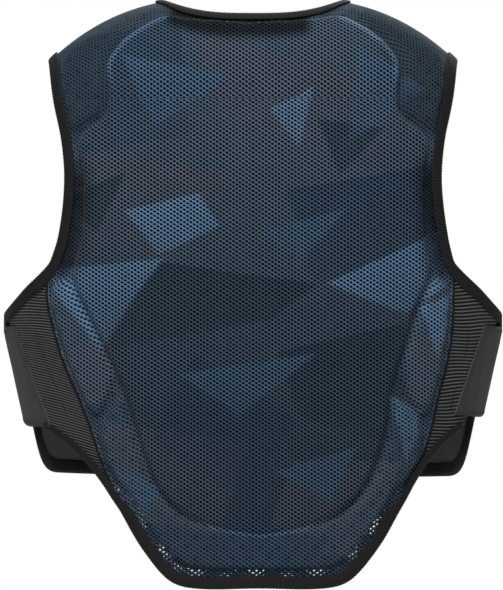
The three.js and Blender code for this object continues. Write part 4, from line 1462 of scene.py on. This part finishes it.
def tape(name, node, edge, closed=False, soften=8.0, narrow=None):
    """Ribbed woven tape folded over an edge, stitched on each leaf; narrow says where it narrows."""
    edge = edge.spaced(RIB_PITCH / 2, soften, closed)
    section = np.concatenate([TAPE_SECTION, TAPE_INSIDE])
    fold = np.stack([np.maximum(TAPE_SECTION[:, 0], 0.6), np.full(len(TAPE_SECTION), TAPE_MIDDLE)], -1)
    out = unit(TAPE_SECTION - fold)
    rows, size = len(edge.points), len(section)
    crest = np.arange(rows) % 2
    shape = np.repeat(section[None], rows, axis=0)
    shape[:, : len(TAPE_SECTION)] += out[None] * (RIB_RISE * (crest - 0.5))[:, None, None]
    leaf = lerp(1, NARROW_TAPE, narrow(edge.points)) if narrow else np.ones(rows)
    shape[:, :, 0] *= np.where(shape[:, :, 0] > 0, leaf[:, None], 1)
    rings = edge.points[:, None] + edge.inward[:, None] * shape[:, :, :1]
    rings = rings + edge.normals[:, None] * shape[:, :, 1:]
    # Painted highlight on the crest rows and painted shade on the rows between, over the ribs' real small
    # rise
    ribs = np.repeat(np.where(crest, *RIB_SHADES), size)
    mesh = Mesh()
    add_tube(mesh, rings, closed, shade=with_alpha(np.repeat(ribs[:, None], 3, 1)))
    for off, way in TAPE_STITCHES:
        line = edge.at(STITCH_LINE * leaf[:, None], off)
        stitches(mesh, line[::3], (edge.normals * way)[::3], 1)
    piece = mesh.make(name, node, [TAPE, STITCH])


def side_line(panel, sign, low, high, count=SIDE_POINTS):
    return panel.side_flat(sign, np.linspace(low, high, count))


def armhole_edge(sign):
    reach = np.linspace(1, 0, FOOT_POINTS)
    foot = Edge.of_side(sign, 0 * reach, reach, 0 * reach + 0.05, reach)
    shoulder = top_run(np.array([SHOULDER_HALF]), False)[0]
    shoulder_front = top_run(np.array([SHOULDER_HALF]), True)[0]
    behind = Edge.of_panel(back, side_line(back, sign, ARMHOLE_FOOT + 3, shoulder))
    ahead = Edge.of_panel(front, side_line(front, sign, shoulder_front, FRONT_TAPE_TOP + 2)[1:])
    return (foot + behind + ahead).drawn_out(*ARMHOLE_TAPE_END)


def side_foot_edge(sign):
    down = np.linspace(*SIDE_FOOT_SPAN, FOOT_POINTS)
    edge = Edge.of_side(sign, down, 0 * down + 1, down - 0.3, 0 * down + 0.5)
    aside = unit(np.cross(edge.normals, np.gradient(edge.points, axis=0)))
    edge.inward = aside * np.sign((aside * edge.inward).sum())
    return edge


def tapes():
    for sign, side in ((-1, "left"), (1, "right")):
        tape(f"armhole_tape_{side}", f"armhole_binding_{side}", armhole_edge(sign))
    hem = Edge.of_panel(back, back.hem_flat())
    tape(
        "hem_tape",
        "hem_binding",
        side_foot_edge(-1) + hem + side_foot_edge(1).back_to_front(),
        narrow=lambda points: smoothstep(points[:, 2], SEAM_FOOT - 10, SEAM_FOOT + 10),
    )
    corner = FRONT_HEM + FRONT_HEM_RADIUS
    left = Edge.of_panel(front, side_line(front, -1, FRONT_TAPE_TOP, corner + 1, FRONT_SIDE_POINTS))
    right = Edge.of_panel(front, side_line(front, 1, corner + 1, FRONT_TAPE_TOP, FRONT_SIDE_POINTS))
    tape("front_tape", "front_binding", left + Edge.of_panel(front, front.hem_flat()) + right)
    behind = Edge.of_panel(back, back.neck_flat()[1:-1])
    ahead = Edge.of_panel(front, front.neck_flat()[-2:0:-1])
    tape(
        "neck_tape",
        "neck_binding",
        behind + ahead,
        closed=True,
        soften=6.0,
        narrow=lambda points: smoothstep(np.abs(points[:, 0]), *NECK_NARROWS),
    )


PIPING_RADIUS = 1.1
PIPING_SIDES = 8
# How far short of the seam's ends it stops, points along the seam, step between rings, and softened length
PIPING_SHORT = 8.0
PIPING_POINTS = 160
PIPING_STEP = 1.5
PIPING_SOFT = 6.0
# Middle of the piping: into the back from the seam, and off the body
PIPING_PLACE = (-0.4, CLOTH + 0.6)


def piping(sign, side):
    """A thin round cord in the seam between the back and the side panel."""
    flat = side_line(back, sign, ARMHOLE_FOOT - PIPING_SHORT, SEAM_FOOT + PIPING_SHORT, PIPING_POINTS)
    edge = Edge.of_panel(back, flat).spaced(PIPING_STEP, PIPING_SOFT, False)
    angles = np.linspace(0, 2 * math.pi, PIPING_SIDES, endpoint=False)
    into, off = PIPING_PLACE
    rings = [edge.at(into + PIPING_RADIUS * math.cos(a), off + PIPING_RADIUS * math.sin(a)) for a in angles]
    mesh = Mesh()
    add_tube(mesh, np.stack(rings, 1))
    mesh.make(f"piping_{side}", f"seam_piping_{side}", [PIPING])


back_mesh()
back_pad()
front_cloth()
for sign, side in ((-1, "left"), (1, "right")):
    side_panel(sign, side)
    belt(sign, side)
    piping(sign, side)
tapes()

# Camera, at the photograph's level view from behind; 1 pixel is 1 mm at the back's surface

FRAME_HIGH = 590
MIDDLE_COLUMN, MIDDLE_ROW = 251.5, 295.0
ORIGIN_COLUMN, ORIGIN_ROW = 253.0, 20.0
CAMERA_AWAY = 6000.0
BACK_SURFACE = -100.0
camera = placed("camera", bpy.data.cameras.new("camera"))
camera.data.sensor_width = 36
camera.data.lens = camera.data.sensor_width * CAMERA_AWAY / FRAME_HIGH
camera.data.clip_end = 100
camera_across, camera_up = MIDDLE_COLUMN - ORIGIN_COLUMN, ORIGIN_ROW - MIDDLE_ROW
camera.location = Vector((camera_across, BACK_SURFACE - CAMERA_AWAY, camera_up)) * MM
camera.rotation_euler = (QUARTER, 0, 0)
bpy.context.scene.camera = camera

# Studio

# Sizes here are in metres
AIM = Vector((0, 0, -0.27))
# Lights: place, size and power
LIGHTS = {
    "key": ((-0.25, -2.0, 1.7), 1.2, 46),
    "low_fill": ((0, -2.2, -1.1), 2.0, 6),
    "top": ((0.2, 0.5, 2.6), 1.6, 12),
    "front_fill": ((0.6, 3.0, 1.4), 2.0, 60),
}
# White sky: how strongly it lights the vest, and how bright it is seen
SKY_LIGHT = 0.16
SKY_SEEN = 1.0
FLOOR_COLOUR = (0.8, 0.8, 0.79)
FLOOR_LEVEL = -0.8
FLOOR_HALF = 3.0
FLOOR_CORNERS = ((-1, -1), (1, -1), (1, 1), (-1, 1))


def area_light(name, place, size, power):
    light = bpy.data.lights.new(name, "AREA")
    light.shape = "DISK"
    light.size = size
    light.energy = power
    lamp = placed(name, light)
    lamp.location = place
    lamp.rotation_euler = (AIM - Vector(place)).to_track_quat("-Z", "Y").to_euler()


for name, (place, size, power) in LIGHTS.items():
    area_light(name, place, size, power)

world = bpy.data.worlds.new("studio")
world.use_nodes = True
sky = world.node_tree.nodes["Background"]
sky.inputs["Color"].default_value = (1, 1, 1, 1)
glow = world.node_tree.nodes.new("ShaderNodeLightPath")
level = world.node_tree.nodes.new("ShaderNodeMapRange")
level.inputs["To Min"].default_value = SKY_LIGHT
level.inputs["To Max"].default_value = SKY_SEEN
world.node_tree.links.new(glow.outputs["Is Camera Ray"], level.inputs["Value"])
world.node_tree.links.new(level.outputs[0], sky.inputs["Strength"])
bpy.context.scene.world = world
bpy.context.scene.view_settings.view_transform = "Standard"

floor_look = Look("pale floor", 0.9, 0.2)
floor_look.colour(FLOOR_COLOUR, floor_look.uneven(3, 0.97, 1.03))
floor_mesh = bpy.data.meshes.new("floor")
corners = [(x * FLOOR_HALF, y * FLOOR_HALF, FLOOR_LEVEL) for x, y in FLOOR_CORNERS]
floor_mesh.from_pydata(corners, [], [(0, 1, 2, 3)])
floor_mesh.materials.append(floor_look.material)
floor = placed("floor", floor_mesh)
